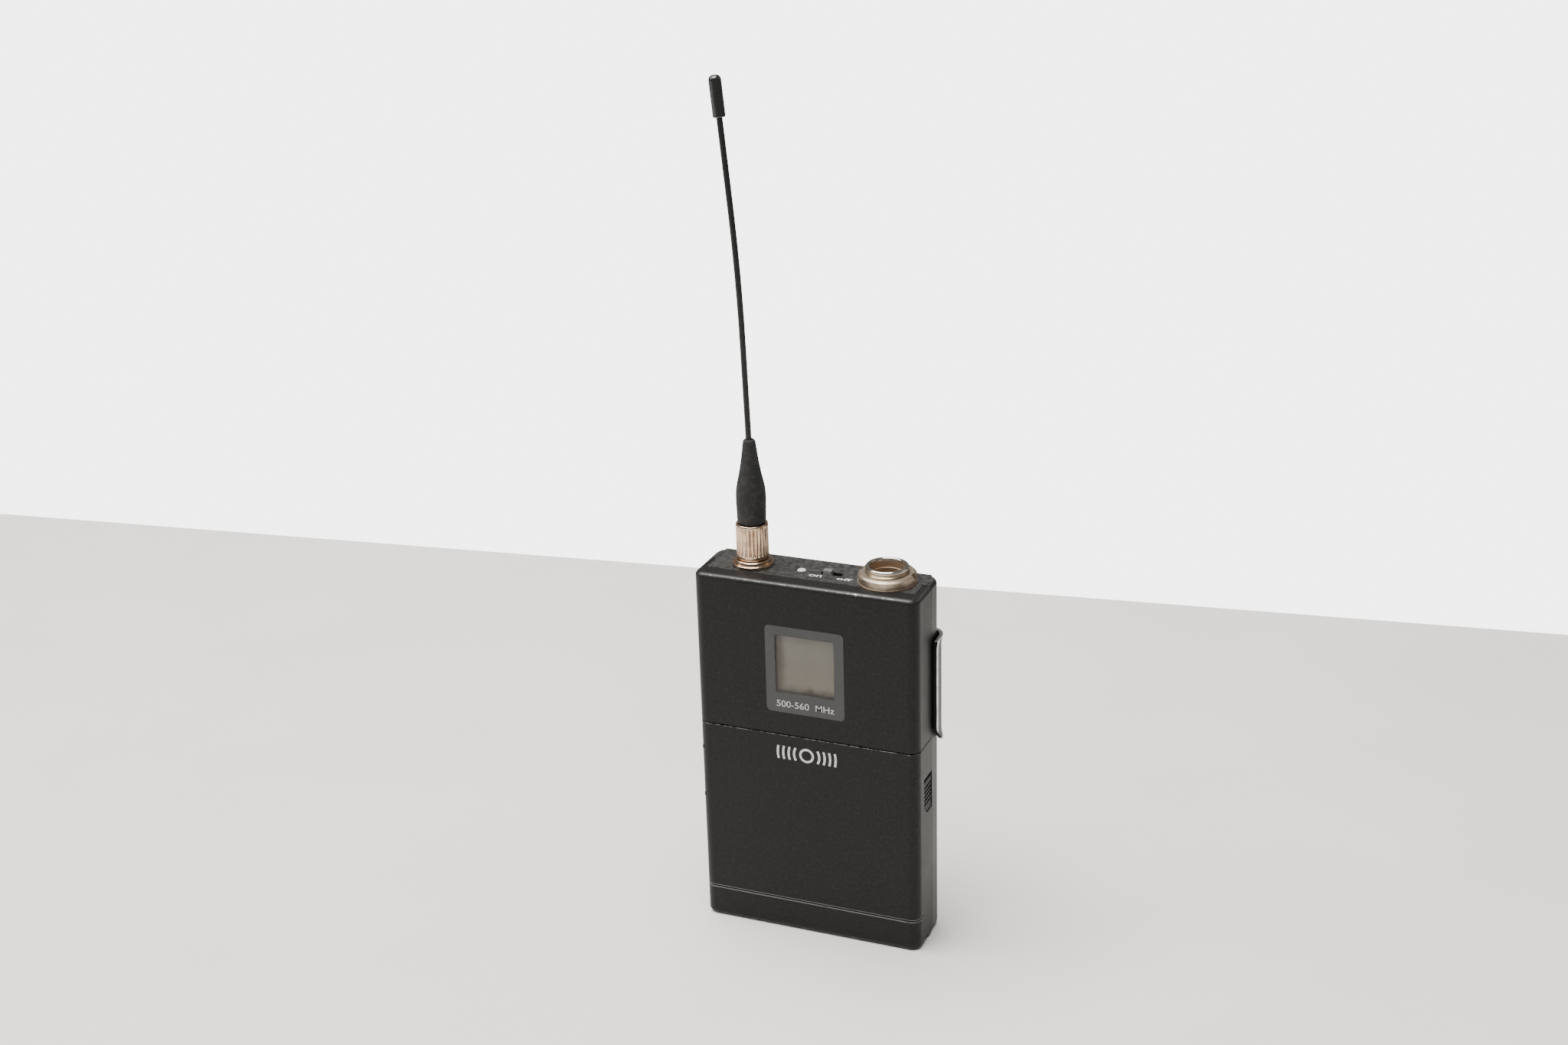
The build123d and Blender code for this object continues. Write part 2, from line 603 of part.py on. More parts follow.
# ---- Antenna: ferrule, centre pin, coupling collar, boot, whip and tip ----
collar_low = thread_low + 0.06
collar_high = collar_low + COLLAR_H
ferrule_low = thread_high + 0.1
ferrule_flange = 1.0
collar_shoulder = ferrule_low + ferrule_flange + RUN_GAP
boot_low = collar_high + 0.15
boot_high = boot_low + BOOT_H
ferrule_high = boot_low + 5.0
with BuildPart() as antenna_ferrule:
    ferrule_outline = [
        (PIN_R, ferrule_low),
        (ANT_THREAD_R, ferrule_low),
        (ANT_THREAD_R, ferrule_low + ferrule_flange),
        (ANT_CORE_R, ferrule_low + ferrule_flange),
        (ANT_CORE_R, ferrule_high),
        (WHIP_R, ferrule_high),
        (WHIP_R, ferrule_high - 4.0),
        (PIN_R, ferrule_high - 4.0),
    ]
    turned(antenna_x, row_y, ferrule_outline)
save(antenna_ferrule, "antenna_ferrule")

with BuildPart() as antenna_pin:
    upright(antenna_x, row_y, PIN_R, (thread_low + 0.4, ferrule_high - 4.0))
    fillet(antenna_pin.edges().group_by(Axis.Z)[0], 0.3)
save(antenna_pin, "antenna_pin")

with BuildPart() as antenna_collar:
    collar_outline = [
        (ANT_THREAD_R + RUN_GAP, collar_low),
        (COLLAR_R - 0.3, collar_low),
        (COLLAR_R, collar_low + 0.3),
        (COLLAR_R, collar_high - 0.3),
        (COLLAR_R - 0.3, collar_high),
        (ANT_CORE_R + RUN_GAP, collar_high),
        (ANT_CORE_R + RUN_GAP, collar_shoulder),
        (ANT_THREAD_R + RUN_GAP, collar_shoulder),
    ]
    turned(antenna_x, row_y, collar_outline)
save(antenna_collar, "antenna_collar")

lean_out = (WHIP_BEND_UP - WHIP_LEAN_UP) * tan(radians(WHIP_LEAN))
bend_out = (WHIP_END_UP - WHIP_BEND_UP) * tan(radians(WHIP_BEND))
whip_start = (antenna_x, row_y, ferrule_high - 4.0)
whip_lean = (antenna_x, row_y, CASE_H + WHIP_LEAN_UP)
whip_bend = (antenna_x - lean_out, row_y, CASE_H + WHIP_BEND_UP)
whip_end = (antenna_x - lean_out - bend_out, row_y, CASE_H + WHIP_END_UP)
lean_radius = 6.0 / tan(radians(WHIP_LEAN / 2))
bend_radius = 18.0 / tan(radians((WHIP_BEND - WHIP_LEAN) / 2))
with BuildPart() as antenna_whip:
    with BuildLine() as whip_route:
        FilletPolyline(whip_start, whip_lean, whip_bend, whip_end, radius=[lean_radius, bend_radius])
    with BuildSketch(Plane(whip_start, z_dir=(0, 0, 1))):
        Circle(WHIP_R)
    sweep(path=whip_route.wires()[0])
save(antenna_whip, "antenna_whip")

# the boot swells above its foot and then tapers, hollow-sided, to the whip
with BuildPart() as antenna_boot:
    with BuildSketch(Plane((antenna_x, row_y, 0), x_dir=(1, 0, 0), z_dir=(0, -1, 0))):
        with BuildLine():
            foot = Line((WHIP_R, boot_low), (BOOT_MAX_R - 0.45, boot_low))
            widest = (BOOT_MAX_R, boot_low + 0.28 * BOOT_H)
            shoulder = (0.62 * BOOT_MAX_R, boot_low + 0.62 * BOOT_H)
            swell = Spline(foot @ 1, widest, shoulder, (BOOT_TOP_R, boot_high))
            Polyline(swell @ 1, (WHIP_R, boot_high), foot @ 0)
        make_face()
    revolve(axis=Axis((antenna_x, row_y, 0), (0, 0, 1)))
    upright(antenna_x, row_y, ANT_CORE_R, (boot_low - 1, ferrule_high), Mode.SUBTRACT)
    add(antenna_whip.part, mode=Mode.SUBTRACT)
save(antenna_boot, "antenna_boot")

tip_run = (-sin(radians(WHIP_BEND)), 0, cos(radians(WHIP_BEND)))
tip_cover = 5.0
tip_plane = Plane(whip_end, x_dir=(cos(radians(WHIP_BEND)), 0, sin(radians(WHIP_BEND))), z_dir=tip_run)
with BuildPart() as antenna_tip:
    with BuildSketch(tip_plane.offset(-tip_cover)):
        Circle(TIP_R)
    extrude(amount=TIP_L)
    fillet(antenna_tip.edges().group_by(Axis.Z)[-1], TIP_R - 0.3)
    fillet(antenna_tip.edges().group_by(Axis.Z)[0], 0.3)
    with BuildSketch(tip_plane.offset(-tip_cover)):
        Circle(WHIP_R)
    extrude(amount=tip_cover, mode=Mode.SUBTRACT)
save(antenna_tip, "antenna_tip")

# ---- Battery bay: two cells, their contacts, and the control panel between them ----
cell_top = CELL_FLOOR + CELL_L
with BuildPart() as battery_left:
    upright(-CELL_X, 0, CELL_R, (CELL_FLOOR, cell_top - CELL_NUB_H))
    fillet(battery_left.edges(), 0.4)
    upright(-CELL_X, 0, CELL_NUB_R, (cell_top - CELL_NUB_H - 0.2, cell_top))
save(battery_left, "battery_left")

with BuildPart() as battery_right:
    upright(CELL_X, 0, CELL_R, (CELL_FLOOR + CELL_NUB_H, cell_top))
    fillet(battery_right.edges(), 0.4)
    upright(CELL_X, 0, CELL_NUB_R, (CELL_FLOOR, CELL_FLOOR + CELL_NUB_H + 0.2))
save(battery_right, "battery_right")

with BuildPart() as battery_bridge:
    reach = CELL_X + CELL_NUB_R + 1.0
    block((-reach, reach), (seam_y - 4.0, seam_y + 4.5), (tray_top, CELL_FLOOR))
    gap_x = PANEL_HALF_W + FIT_GAP
    block((-gap_x, gap_x), (-far, seam_y + 1.5), (-far, far), Mode.SUBTRACT)
save(battery_bridge, "battery_bridge")

with BuildPart() as battery_plus_contact:
    block((-CELL_X - 4.0, -CELL_X + 4.0), (-4.0, 4.0), (partition_low - CONTACT_T, partition_low))
    upright(-CELL_X, 0, 1.6, (cell_top, partition_low - CONTACT_T))
save(battery_plus_contact, "battery_plus_contact")

# conical spring that bears on the other cell's flat end
spring_low = cell_top + CONTACT_T
spring_high = partition_low - CONTACT_T
with BuildPart() as battery_spring:
    with BuildSketch(Plane((CELL_X + 2.0, 0, spring_low), x_dir=(1, 0, 0), z_dir=(0, -1, 0))):
        Circle(CONTACT_T)
    coil = Helix(pitch=0.65, height=spring_high - spring_low, radius=2.0, center=(CELL_X, 0, spring_low))
    sweep(path=coil, is_frenet=True)
    block((CELL_X - 4.0, CELL_X + 4.0), (-4.0, 4.0), (partition_low - CONTACT_T, partition_low))
save(battery_spring, "battery_spring")

panel_y = front_y + PANEL_FRONT
panel_low = CELL_FLOOR + 0.4
panel_high = partition_low - FIT_GAP
buttons = {"button_enter": ENTER_Z, "button_menu": MENU_Z}
with BuildPart() as control_panel:
    block((-PANEL_HALF_W, PANEL_HALF_W), (panel_y, inner_rear), (panel_low, panel_high))
    web = PANEL_HALF_W - PANEL_T
    hollow_y = (panel_y + PANEL_T, inner_rear + 1)
    block((-web, web), hollow_y, (panel_low - 1, panel_high - PANEL_T), Mode.SUBTRACT)
    for button_z in buttons.values():
        through(0, button_z, BUTTON_R + FIT_GAP, (panel_y - 1, panel_y + PANEL_T + 1), Mode.SUBTRACT)
    block((-3.5, 3.5), (panel_y - 1, panel_y + PANEL_T + 1), (IR_Z - 2, IR_Z + 2), Mode.SUBTRACT)
    # the cells lie in hollows in the panel's sides
    for side in (-1, 1):
        upright(side * CELL_X, 0, CELL_R + MOVE_GAP, (-far, far), Mode.SUBTRACT)
save(control_panel, "control_panel")

flange_y = panel_y + PANEL_T + RUN_GAP
flange_t = 0.7
control_board_y = flange_y + flange_t + BUTTON_TRAVEL + 0.1
with BuildPart() as control_board:
    block((-6.5, 6.5), (control_board_y, control_board_y + BOARD_T), (IR_Z - 5, ENTER_Z + 5))
save(control_board, "control_board")

with BuildPart() as ir_window:
    block((-3.4, 3.4), (panel_y + 0.1, panel_y + PANEL_T), (IR_Z - 1.9, IR_Z + 1.9))
    block((-4.2, 4.2), (panel_y + PANEL_T, panel_y + PANEL_T + 0.6), (IR_Z - 2.7, IR_Z + 2.7))
save(ir_window, "ir_window")


def push_button(z):
    """A round button whose flange sits behind the control panel."""
    with BuildPart() as button:
        through(0, z, BUTTON_R, (panel_y - BUTTON_RISE, flange_y + flange_t))
        fillet(button.edges().group_by(Axis.Y)[0], 0.3)
        through(0, z, BUTTON_R + 0.7, (flange_y, flange_y + flange_t))
    return button


for name, button_z in buttons.items():
    save(push_button(button_z), name)

# ---- Hinge rod, fixed in the rear case's lugs ----
with BuildPart() as hinge_rod:
    crosswise(hinge_y, hinge_z, ROD_R, (-lug_out_x - LUG_W / 2, lug_out_x + LUG_W / 2))
save(hinge_rod, "hinge_rod")

# ---- Battery door: lower front shell that swings down about the rod ----
door_top = SPLIT_Z
door_rear = seam_y - SEAM_GAP / 2
latch_y0 = front_y + LATCH_FRONT


def latch_outline(grow):
    """The latch's opening in the side wall, as (y, z) points, made larger by grow."""
    low = LATCH_LOW - grow
    high = LATCH_HIGH + grow
    front = latch_y0 - grow
    rear = seam_y + 1.0
    return [(front, high), (front, low + LATCH_CUT), (front + LATCH_CUT, low), (rear, low), (rear, high)]


def scored_band():
    """The shallow groove round the door's front and corners, as a solid to cut away."""
    with BuildPart() as band:
        groove_z = (GROOVE_Z - GROOVE_W / 2, GROOVE_Z + GROOVE_W / 2)
        block((-CASE_W, CASE_W), (-CASE_D, front_y + GROOVE_WRAP), groove_z)
        add(case_block(GROOVE_DEPTH), mode=Mode.SUBTRACT)
    return band.part


with BuildPart() as battery_door:
    add(case_shell())
    block((-far, far), (door_rear, far), (-far, far), Mode.SUBTRACT)
    block((-far, far), (-far, far), (door_top, far), Mode.SUBTRACT)
    # the rear bottom edge is rounded about the hinge, and thickened there into knuckles
    block((-far, far), (hinge_y, far), (-far, hinge_z), Mode.SUBTRACT)
    knuckle_x = lug_out_x - LUG_W / 2 - MOVE_GAP
    knuckle_r = HINGE_R - SEAM_GAP / 2
    crosswise(hinge_y, hinge_z, knuckle_r, (-knuckle_x, knuckle_x))
    for side in (-1, 1):
        wall_x = sorted((side * inner_x, side * side_x))
        with BuildSketch(Plane.YZ.offset(wall_x[0])):
            with Locations((hinge_y, hinge_z)):
                Circle(knuckle_r)
        extrude(amount=WALL)
        # two ribs guide the latch
        rib_x = sorted((side * (inner_x - 2.8), side * (inner_x + WALL / 2)))
        for rib_z in (LATCH_LOW - 2.4, LATCH_HIGH + 1.4):
            block(rib_x, (inner_front - WALL / 2, seam_y - 1.0), (rib_z, rib_z + RIB_T))
    # the lugs stand in square notches, with room for the bottom wall to swing past them
    for lug_x in lug_places:
        clear = (lug_x - LUG_W / 2 - MOVE_GAP, lug_x + LUG_W / 2 + MOVE_GAP)
        crosswise(hinge_y, hinge_z, HINGE_R + MOVE_GAP, clear, Mode.SUBTRACT)
        block(clear, (hinge_y - HINGE_R - MOVE_GAP, far), (-far, hinge_z), Mode.SUBTRACT)
    crosswise(hinge_y, hinge_z, ROD_R + RUN_GAP, (-inner_x, inner_x), Mode.SUBTRACT)
    # scored line round the front near the bottom
    add(scored_band(), mode=Mode.SUBTRACT)
    # openings for the two latches
    for side in (-1, 1):
        with BuildSketch(Plane.YZ.offset(side * inner_x - WALL * 2)):
            with BuildLine():
                Polyline(*latch_outline(FIT_GAP), close=True)
            make_face()
        extrude(amount=WALL * 4, mode=Mode.SUBTRACT)
save(battery_door, "battery_door")


# ---- Release latches: ribbed thumb pieces in the door's sides ----
def latch_form():
    """The right-hand latch: thumb piece, inner flange and the arm that reaches past the seam."""
    face_x = side_x - 0.15
    flange_x = inner_x - RUN_GAP
    with BuildPart() as latch:
        with BuildSketch(Plane.YZ.offset(flange_x - LATCH_T)):
            with BuildLine():
                Polyline(*latch_outline(-FIT_GAP), close=True)
            make_face()
        extrude(amount=face_x - flange_x + LATCH_T)
        block((-far, far), (seam_y - 0.45, far), (-far, far), Mode.SUBTRACT)
        top_edge = latch.edges().filter_by(Axis.Y).sort_by(Axis.Z)[-2:].sort_by(Axis.X)[-1]
        chamfer(top_edge, 1.0)
        for rib in range(5):
            rib_z = LATCH_LOW + LATCH_CUT + 0.2 + 1.2 * rib
            block((face_x - 0.3, face_x + 1), (-far, far), (rib_z, rib_z + 0.5), Mode.SUBTRACT)
        flange_z = (LATCH_LOW - 1.0, LATCH_HIGH + 1.0)
        block((flange_x - LATCH_T, flange_x), (latch_y0 - 1.0, seam_y - 0.45), flange_z)
        arm_z = (catch_z - 2.0, catch_z + 2.0)
        block((flange_x - LATCH_T, flange_x - 0.1), (seam_y - 1.0, seam_y + 2.6), arm_z)
    return latch.part


with BuildPart() as latch_right:
    add(latch_form())
save(latch_right, "latch_right")

with BuildPart() as latch_left:
    add(latch_form().mirror(Plane.YZ))
save(latch_left, "latch_left")

# ---- Belt clip: sprung saddle round the back, and the folded tongue behind it ----
sheet_in = CLIP_GAP
ear_x = side_x + sheet_in
ear_y = seam_y + EAR_START
back_y = rear_y + sheet_in
turn_r = REAR_CORNER_R + sheet_in
flare_r = (CLIP_FLARE_H ** 2 + CLIP_FLARE ** 2) / (2 * CLIP_FLARE)

with BuildPart() as clip_saddle:
    with BuildLine() as saddle_route:
        FilletPolyline((ear_x, ear_y), (ear_x, back_y), (-ear_x, back_y), (-ear_x, ear_y), radius=turn_r)
    with BuildSketch(Plane((ear_x, ear_y, 0), x_dir=(1, 0, 0), z_dir=(0, -1, 0))):
        with BuildLine():
            low_in = RadiusArc((CLIP_FLARE, CLIP_LOW), (0, CLIP_LOW + CLIP_FLARE_H), flare_r)
            wall_in = Line(low_in @ 1, (0, CLIP_HIGH - CLIP_FLARE_H))
            high_in = RadiusArc(wall_in @ 1, (CLIP_FLARE, CLIP_HIGH), flare_r)
            rim = Line(high_in @ 1, (CLIP_FLARE + CLIP_T, CLIP_HIGH))
            high_out = RadiusArc(rim @ 1, (CLIP_T, CLIP_HIGH - CLIP_FLARE_H), -flare_r)
            wall_out = Line(high_out @ 1, (CLIP_T, CLIP_LOW + CLIP_FLARE_H))
            low_out = RadiusArc(wall_out @ 1, (CLIP_FLARE + CLIP_T, CLIP_LOW), -flare_r)
            Line(low_out @ 1, low_in @ 0)
        make_face()
    sweep(path=saddle_route.wires()[0])
    # the ears' lower edges slope up to the front
    with BuildSketch(Plane.YZ.offset(-far)):
        with BuildLine():
            slope_rear = back_y - turn_r
            slope_low = CLIP_LOW - 5
            slope_high = CLIP_LOW + EAR_RISE
            slope = [(ear_y - 1, slope_low), (slope_rear, slope_low), (slope_rear, CLIP_LOW)]
            Polyline(*slope, (ear_y, slope_high), (ear_y - 1, slope_high), close=True)
        make_face()
    extrude(amount=2 * far, mode=Mode.SUBTRACT)
    # a tab in the middle of the back carries the fold
    tab = (-TONGUE_W / 2, TONGUE_W / 2)
    block(tab, (back_y, back_y + CLIP_T), (CLIP_HIGH - CLIP_FLARE_H - 1.0, FOLD_Z))
    for side in (-1, 1):
        pip = sorted((side * (side_x - 0.8), side * (ear_x + CLIP_T / 2)))
        crosswise(dimple_y, DIMPLE_Z, DIMPLE_R, pip)
save(clip_saddle, "clip_saddle")

fold_gap = 0.15
fold_start = FOLD_Z + fold_gap
fold_in = back_y
fold_out = back_y + 2 * CLIP_T + CLIP_FLARE + BELT_GAP
fold_mid = (fold_in + fold_out) / 2
fold_top = fold_start + (fold_out - fold_in) / 2
tongue_inner = fold_out - CLIP_T
lip_z = TONGUE_LOW + LIP_H
with BuildPart() as clip_tongue:
    with BuildSketch(Plane.YZ.offset(-TONGUE_W / 2)):
        with BuildLine():
            over = ThreePointArc((fold_in, fold_start), (fold_mid, fold_top), (fold_out, fold_start))
            down = Line(over @ 1, (fold_out, lip_z))
            lip = Line(down @ 1, (fold_out + LIP_OUT, TONGUE_LOW))
            under = Line(lip @ 1, (tongue_inner + LIP_OUT, TONGUE_LOW))
            lip_in = Line(under @ 1, (tongue_inner, lip_z))
            up = Line(lip_in @ 1, (tongue_inner, fold_start))
            inner = ThreePointArc(up @ 1, (fold_mid, fold_top - CLIP_T), (fold_in + CLIP_T, fold_start))
            Line(inner @ 1, over @ 0)
        make_face()
    extrude(amount=TONGUE_W)
    # the lower corners are rounded off
    with BuildSketch(Plane.XZ.offset(-fold_out - LIP_OUT - 1)) as front_view:
        with Locations((0, TONGUE_LOW)):
            Rectangle(TONGUE_W, FOLD_Z, align=(Align.CENTER, Align.MIN))
        fillet(front_view.vertices().group_by(Axis.Z)[0], LIP_CORNER_R)
    extrude(amount=far, mode=Mode.INTERSECT)
save(clip_tongue, "clip_tongue")
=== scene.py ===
import bmesh
import bpy
from math import asin, cos, pi, radians, sin
from mathutils import Euler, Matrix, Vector


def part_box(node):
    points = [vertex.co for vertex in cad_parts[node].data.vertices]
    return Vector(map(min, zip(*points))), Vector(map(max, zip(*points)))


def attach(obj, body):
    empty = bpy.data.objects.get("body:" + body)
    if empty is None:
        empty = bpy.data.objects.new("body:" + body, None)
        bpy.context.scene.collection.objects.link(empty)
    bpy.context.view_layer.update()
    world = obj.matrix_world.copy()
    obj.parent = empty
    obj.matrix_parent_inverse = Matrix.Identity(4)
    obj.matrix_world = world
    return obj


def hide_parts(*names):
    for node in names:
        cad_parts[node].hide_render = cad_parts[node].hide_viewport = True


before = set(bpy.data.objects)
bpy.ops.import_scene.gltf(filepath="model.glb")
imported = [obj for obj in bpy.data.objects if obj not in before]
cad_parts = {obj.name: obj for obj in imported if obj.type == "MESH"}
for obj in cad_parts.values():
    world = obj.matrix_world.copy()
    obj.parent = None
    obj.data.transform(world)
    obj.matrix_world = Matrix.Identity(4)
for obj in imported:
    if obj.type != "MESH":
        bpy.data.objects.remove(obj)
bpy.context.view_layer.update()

# ---- Camera ----
# It stands in front of the transmitter, to the right and above, and looks slightly down.
# The lens is a little longer than normal, and the camera is rolled by under two degrees.
CAMERA_TURN = radians(22.68)
CAMERA_TILT = radians(21.485)
CAMERA_ROLL = radians(-1.628)
camera_data = bpy.data.cameras.new("camera")
camera_data.lens = 50.89
camera_data.sensor_width = 36.0
camera_data.clip_start = 0.01
camera = bpy.data.objects.new("camera", camera_data)
camera.location = (0.19263, -0.48066, 0.31790)
back_of_camera = Vector((
    sin(CAMERA_TURN) * cos(CAMERA_TILT),
    -cos(CAMERA_TURN) * cos(CAMERA_TILT),
    sin(CAMERA_TILT),
))
roll = Euler((0, 0, CAMERA_ROLL)).to_quaternion()
camera.rotation_mode = "QUATERNION"
camera.rotation_quaternion = back_of_camera.to_track_quat("Z", "Y") @ roll
bpy.context.scene.collection.objects.link(camera)
bpy.context.scene.camera = camera


# ---- Floor and light ----
# A pale smooth table top in front of a white wall, lit by large soft lamps: one overhead and one at each
# side. The room's own light is even, and the wall behind is brighter than the light it gives.
class Finish:
    """The nodes of one finish. Its sizes are in millimetres, measured at the piece's own place."""

    def __init__(self, name, colour, rough, metal=0.0):
        self.material = bpy.data.materials.new(name)
        self.material.use_nodes = True
        self.tree = self.material.node_tree
        self.shader = self.tree.nodes["Principled BSDF"]
        self.feed(self.shader.inputs["Base Color"], colour)
        self.feed(self.shader.inputs["Roughness"], rough)
        self.feed(self.shader.inputs["Metallic"], metal)
        place = self.node("TexCoord").outputs["Object"]
        self.place = self.node("VectorMath", {0: place, "Scale": 1000.0}, operation="SCALE").outputs[0]
        parts = self.node("SeparateXYZ", {0: self.place}).outputs
        self.x = parts[0]
        self.y = parts[1]
        self.z = parts[2]
        self.normal = None

    def feed(self, socket, value):
        """Links or sets one socket."""
        if isinstance(value, bpy.types.NodeSocket):
            self.tree.links.new(value, socket)
        elif socket.type == "RGBA":
            socket.default_value = (*value, 1.0)
        else:
            socket.default_value = value

    def node(self, kind, sockets=None, **settings):
        """A new node with its settings and sockets filled in."""
        made = self.tree.nodes.new("ShaderNode" + kind)
        for name, value in settings.items():
            setattr(made, name, value)
        for socket, value in (sockets or {}).items():
            self.feed(made.inputs[socket], value)
        return made

    def work_out(self, operation, a, b=0.0):
        """One step of arithmetic."""
        return self.node("Math", {0: a, 1: b}, operation=operation).outputs[0]

    def plus(self, a, b):
        return self.work_out("ADD", a, b)

    def less(self, a, b):
        return self.work_out("SUBTRACT", a, b)

    def times(self, a, b):
        return self.work_out("MULTIPLY", a, b)

    def smaller(self, a, b):
        return self.work_out("MINIMUM", a, b)

    def larger(self, a, b):
        return self.work_out("MAXIMUM", a, b)

    def unsigned(self, a):
        return self.work_out("ABSOLUTE", a)

    def inside(self, value, low, high):
        """How far a value is inside the nearer of two limits."""
        return self.smaller(self.less(value, low), self.less(high, value))

    def swing(self, pattern, middle, reach):
        """A pattern's swing about its middle, times reach."""
        return self.times(self.less(pattern, middle), reach)

    def fade(self, value, low, high):
        """0 at low and 1 at high, smooth between."""
        sockets = {"Value": value, "From Min": low, "From Max": high}
        return self.node("MapRange", sockets, interpolation_type="SMOOTHSTEP").outputs["Result"]

    def between(self, value, low, high, soft=0.02):
        """1 between low and high, 0 outside."""
        rise = self.fade(value, low - soft, low + soft)
        return self.times(rise, self.fade(value, high + soft, high - soft))

    def level(self, amount, a, b):
        """A number between a and b."""
        return self.node("Mix", {0: amount, 2: a, 3: b}).outputs[0]

    def tint(self, amount, a, b):
        """A colour between a and b."""
        return self.node("Mix", {0: amount, 6: a, 7: b}, data_type="RGBA").outputs[2]

    def cloud(self, size, detail=2.0, stretch=(1.0, 1.0, 1.0)):
        """Soft blotches about size across, made narrower along each axis by stretch."""
        place = self.node("VectorMath", {0: self.place, 1: stretch}, operation="MULTIPLY").outputs[0]
        return self.node("TexNoise", {"Vector": place, "Scale": 1.0 / size, "Detail": detail}).outputs[0]

    def specks(self, size, radius, share):
        """Small round dots on a share of the cells of a loose grid."""
        cells = self.node("TexVoronoi", {"Vector": self.place, "Scale": 1.0 / size})
        pick = self.node("SeparateXYZ", {0: cells.outputs[1]}).outputs[0]
        dot = self.fade(cells.outputs[0], radius / size, 0.5 * radius / size)
        return self.times(dot, self.work_out("LESS_THAN", pick, share))

    def across(self, x, y):
        """Distance from an upright axis."""
        off_x = self.less(self.x, x)
        off_y = self.less(self.y, y)
        square = self.plus(self.times(off_x, off_x), self.times(off_y, off_y))
        return self.work_out("SQRT", square)

    def relief(self, height, depth):
        """Raises the surface by height times depth."""
        sockets = {"Height": height, "Distance": depth / 1000.0, "Strength": 1.0}
        if self.normal:
            sockets["Normal"] = self.normal
        self.normal = self.node("Bump", sockets).outputs[0]
        self.feed(self.shader.inputs["Normal"], self.normal)

    def soften(self, radius):
        """Lets sharp edges catch the light as if rounded by radius."""
        self.normal = self.node("Bevel", {"Radius": radius / 1000.0}, samples=4).outputs[0]
        self.feed(self.shader.inputs["Normal"], self.normal)

    def colour(self, value):
        self.feed(self.shader.inputs["Base Color"], value)

    def rough(self, value):
        self.feed(self.shader.inputs["Roughness"], value)

    def metal(self, value):
        self.feed(self.shader.inputs["Metallic"], value)


table_finish = Finish("table_top", (0.80, 0.78, 0.75), 0.55)
table_grain = table_finish.cloud(60.0, 4.0)
table_finish.colour(table_finish.tint(table_grain, (0.76, 0.735, 0.70), (0.84, 0.82, 0.80)))
table_finish.rough(table_finish.level(table_grain, 0.48, 0.62))
table_finish.relief(table_finish.cloud(3.0, 3.0), 0.02)
TABLE_HALF_W = 1.0
TABLE_FRONT = -0.85
TABLE_BACK_LEFT = 0.099
TABLE_BACK_RIGHT = 0.359
table_corners = [
    (-TABLE_HALF_W, TABLE_FRONT, 0),
    (TABLE_HALF_W, TABLE_FRONT, 0),
    (TABLE_HALF_W, TABLE_BACK_RIGHT, 0),
    (-TABLE_HALF_W, TABLE_BACK_LEFT, 0),
]
table_mesh = bpy.data.meshes.new("table_top")
table_mesh.from_pydata(table_corners, [], [(0, 1, 2, 3)])
table_mesh.materials.append(table_finish.material)
table_top = bpy.data.objects.new("table_top", table_mesh)
bpy.context.scene.collection.objects.link(table_top)

ROOM_GLOW = 0.22
WALL_GLOW = 4.8
room = bpy.data.worlds.new("room")
room.use_nodes = True
room_nodes = room.node_tree.nodes
room_links = room.node_tree.links
room_light = room_nodes["Background"]
room_light.inputs["Color"].default_value = (1.0, 0.99, 0.97, 1.0)
room_light.inputs["Strength"].default_value = ROOM_GLOW
wall_light = room_nodes.new("ShaderNodeBackground")
wall_light.inputs["Color"].default_value = (1.0, 0.995, 0.985, 1.0)
wall_light.inputs["Strength"].default_value = WALL_GLOW
seen = room_nodes.new("ShaderNodeLightPath")
either = room_nodes.new("ShaderNodeMixShader")
room_links.new(seen.outputs["Is Camera Ray"], either.inputs[0])
room_links.new(room_light.outputs[0], either.inputs[1])
room_links.new(wall_light.outputs[0], either.inputs[2])
room_links.new(either.outputs[0], room_nodes["World Output"].inputs[0])
bpy.context.scene.world = room


def soft_lamp(name, place, aim, width, height, watts, colour):
    """A large softbox that points at aim."""
    data = bpy.data.lights.new(name, "AREA")
    data.shape = "RECTANGLE"
    data.size = width
    data.size_y = height
    data.energy = watts
    data.color = colour
    lamp = bpy.data.objects.new(name, data)
    lamp.location = place
    lamp.rotation_mode = "QUATERNION"
    lamp.rotation_quaternion = (Vector(place) - Vector(aim)).to_track_quat("Z", "Y")
    bpy.context.scene.collection.objects.link(lamp)


soft_lamp("lamp_over", place=(-0.2, -0.1, 1.1), aim=(0, 0.02, 0),
          width=1.1, height=0.95, watts=36.0, colour=(1.0, 0.99, 0.97))
soft_lamp("lamp_left", place=(-0.9, -0.35, 0.8), aim=(0, 0, 0.09),
          width=0.5, height=0.5, watts=4.5, colour=(1.0, 0.98, 0.95))
soft_lamp("lamp_right", place=(0.9, 0.5, 0.55), aim=(0, 0, 0.09),
          width=0.4, height=0.5, watts=0.6, colour=(1.0, 0.80, 0.62))


# ---- Rear case ----
# The chassis is a zinc casting: the back, the rear halves of the sides, the inset top plate and the bay's
# partition in one piece. It is painted satin black, and hands and tables have rubbed its edges bright. A
# painted highlight also lightens the black along its edges.
HALF_W = 30.25
FRONT = -9.05
REAR = 9.05
SEAM = 1.95
HEIGHT = 100.0
SPLIT = 57.5
BARE_METAL = (0.50, 0.485, 0.46)


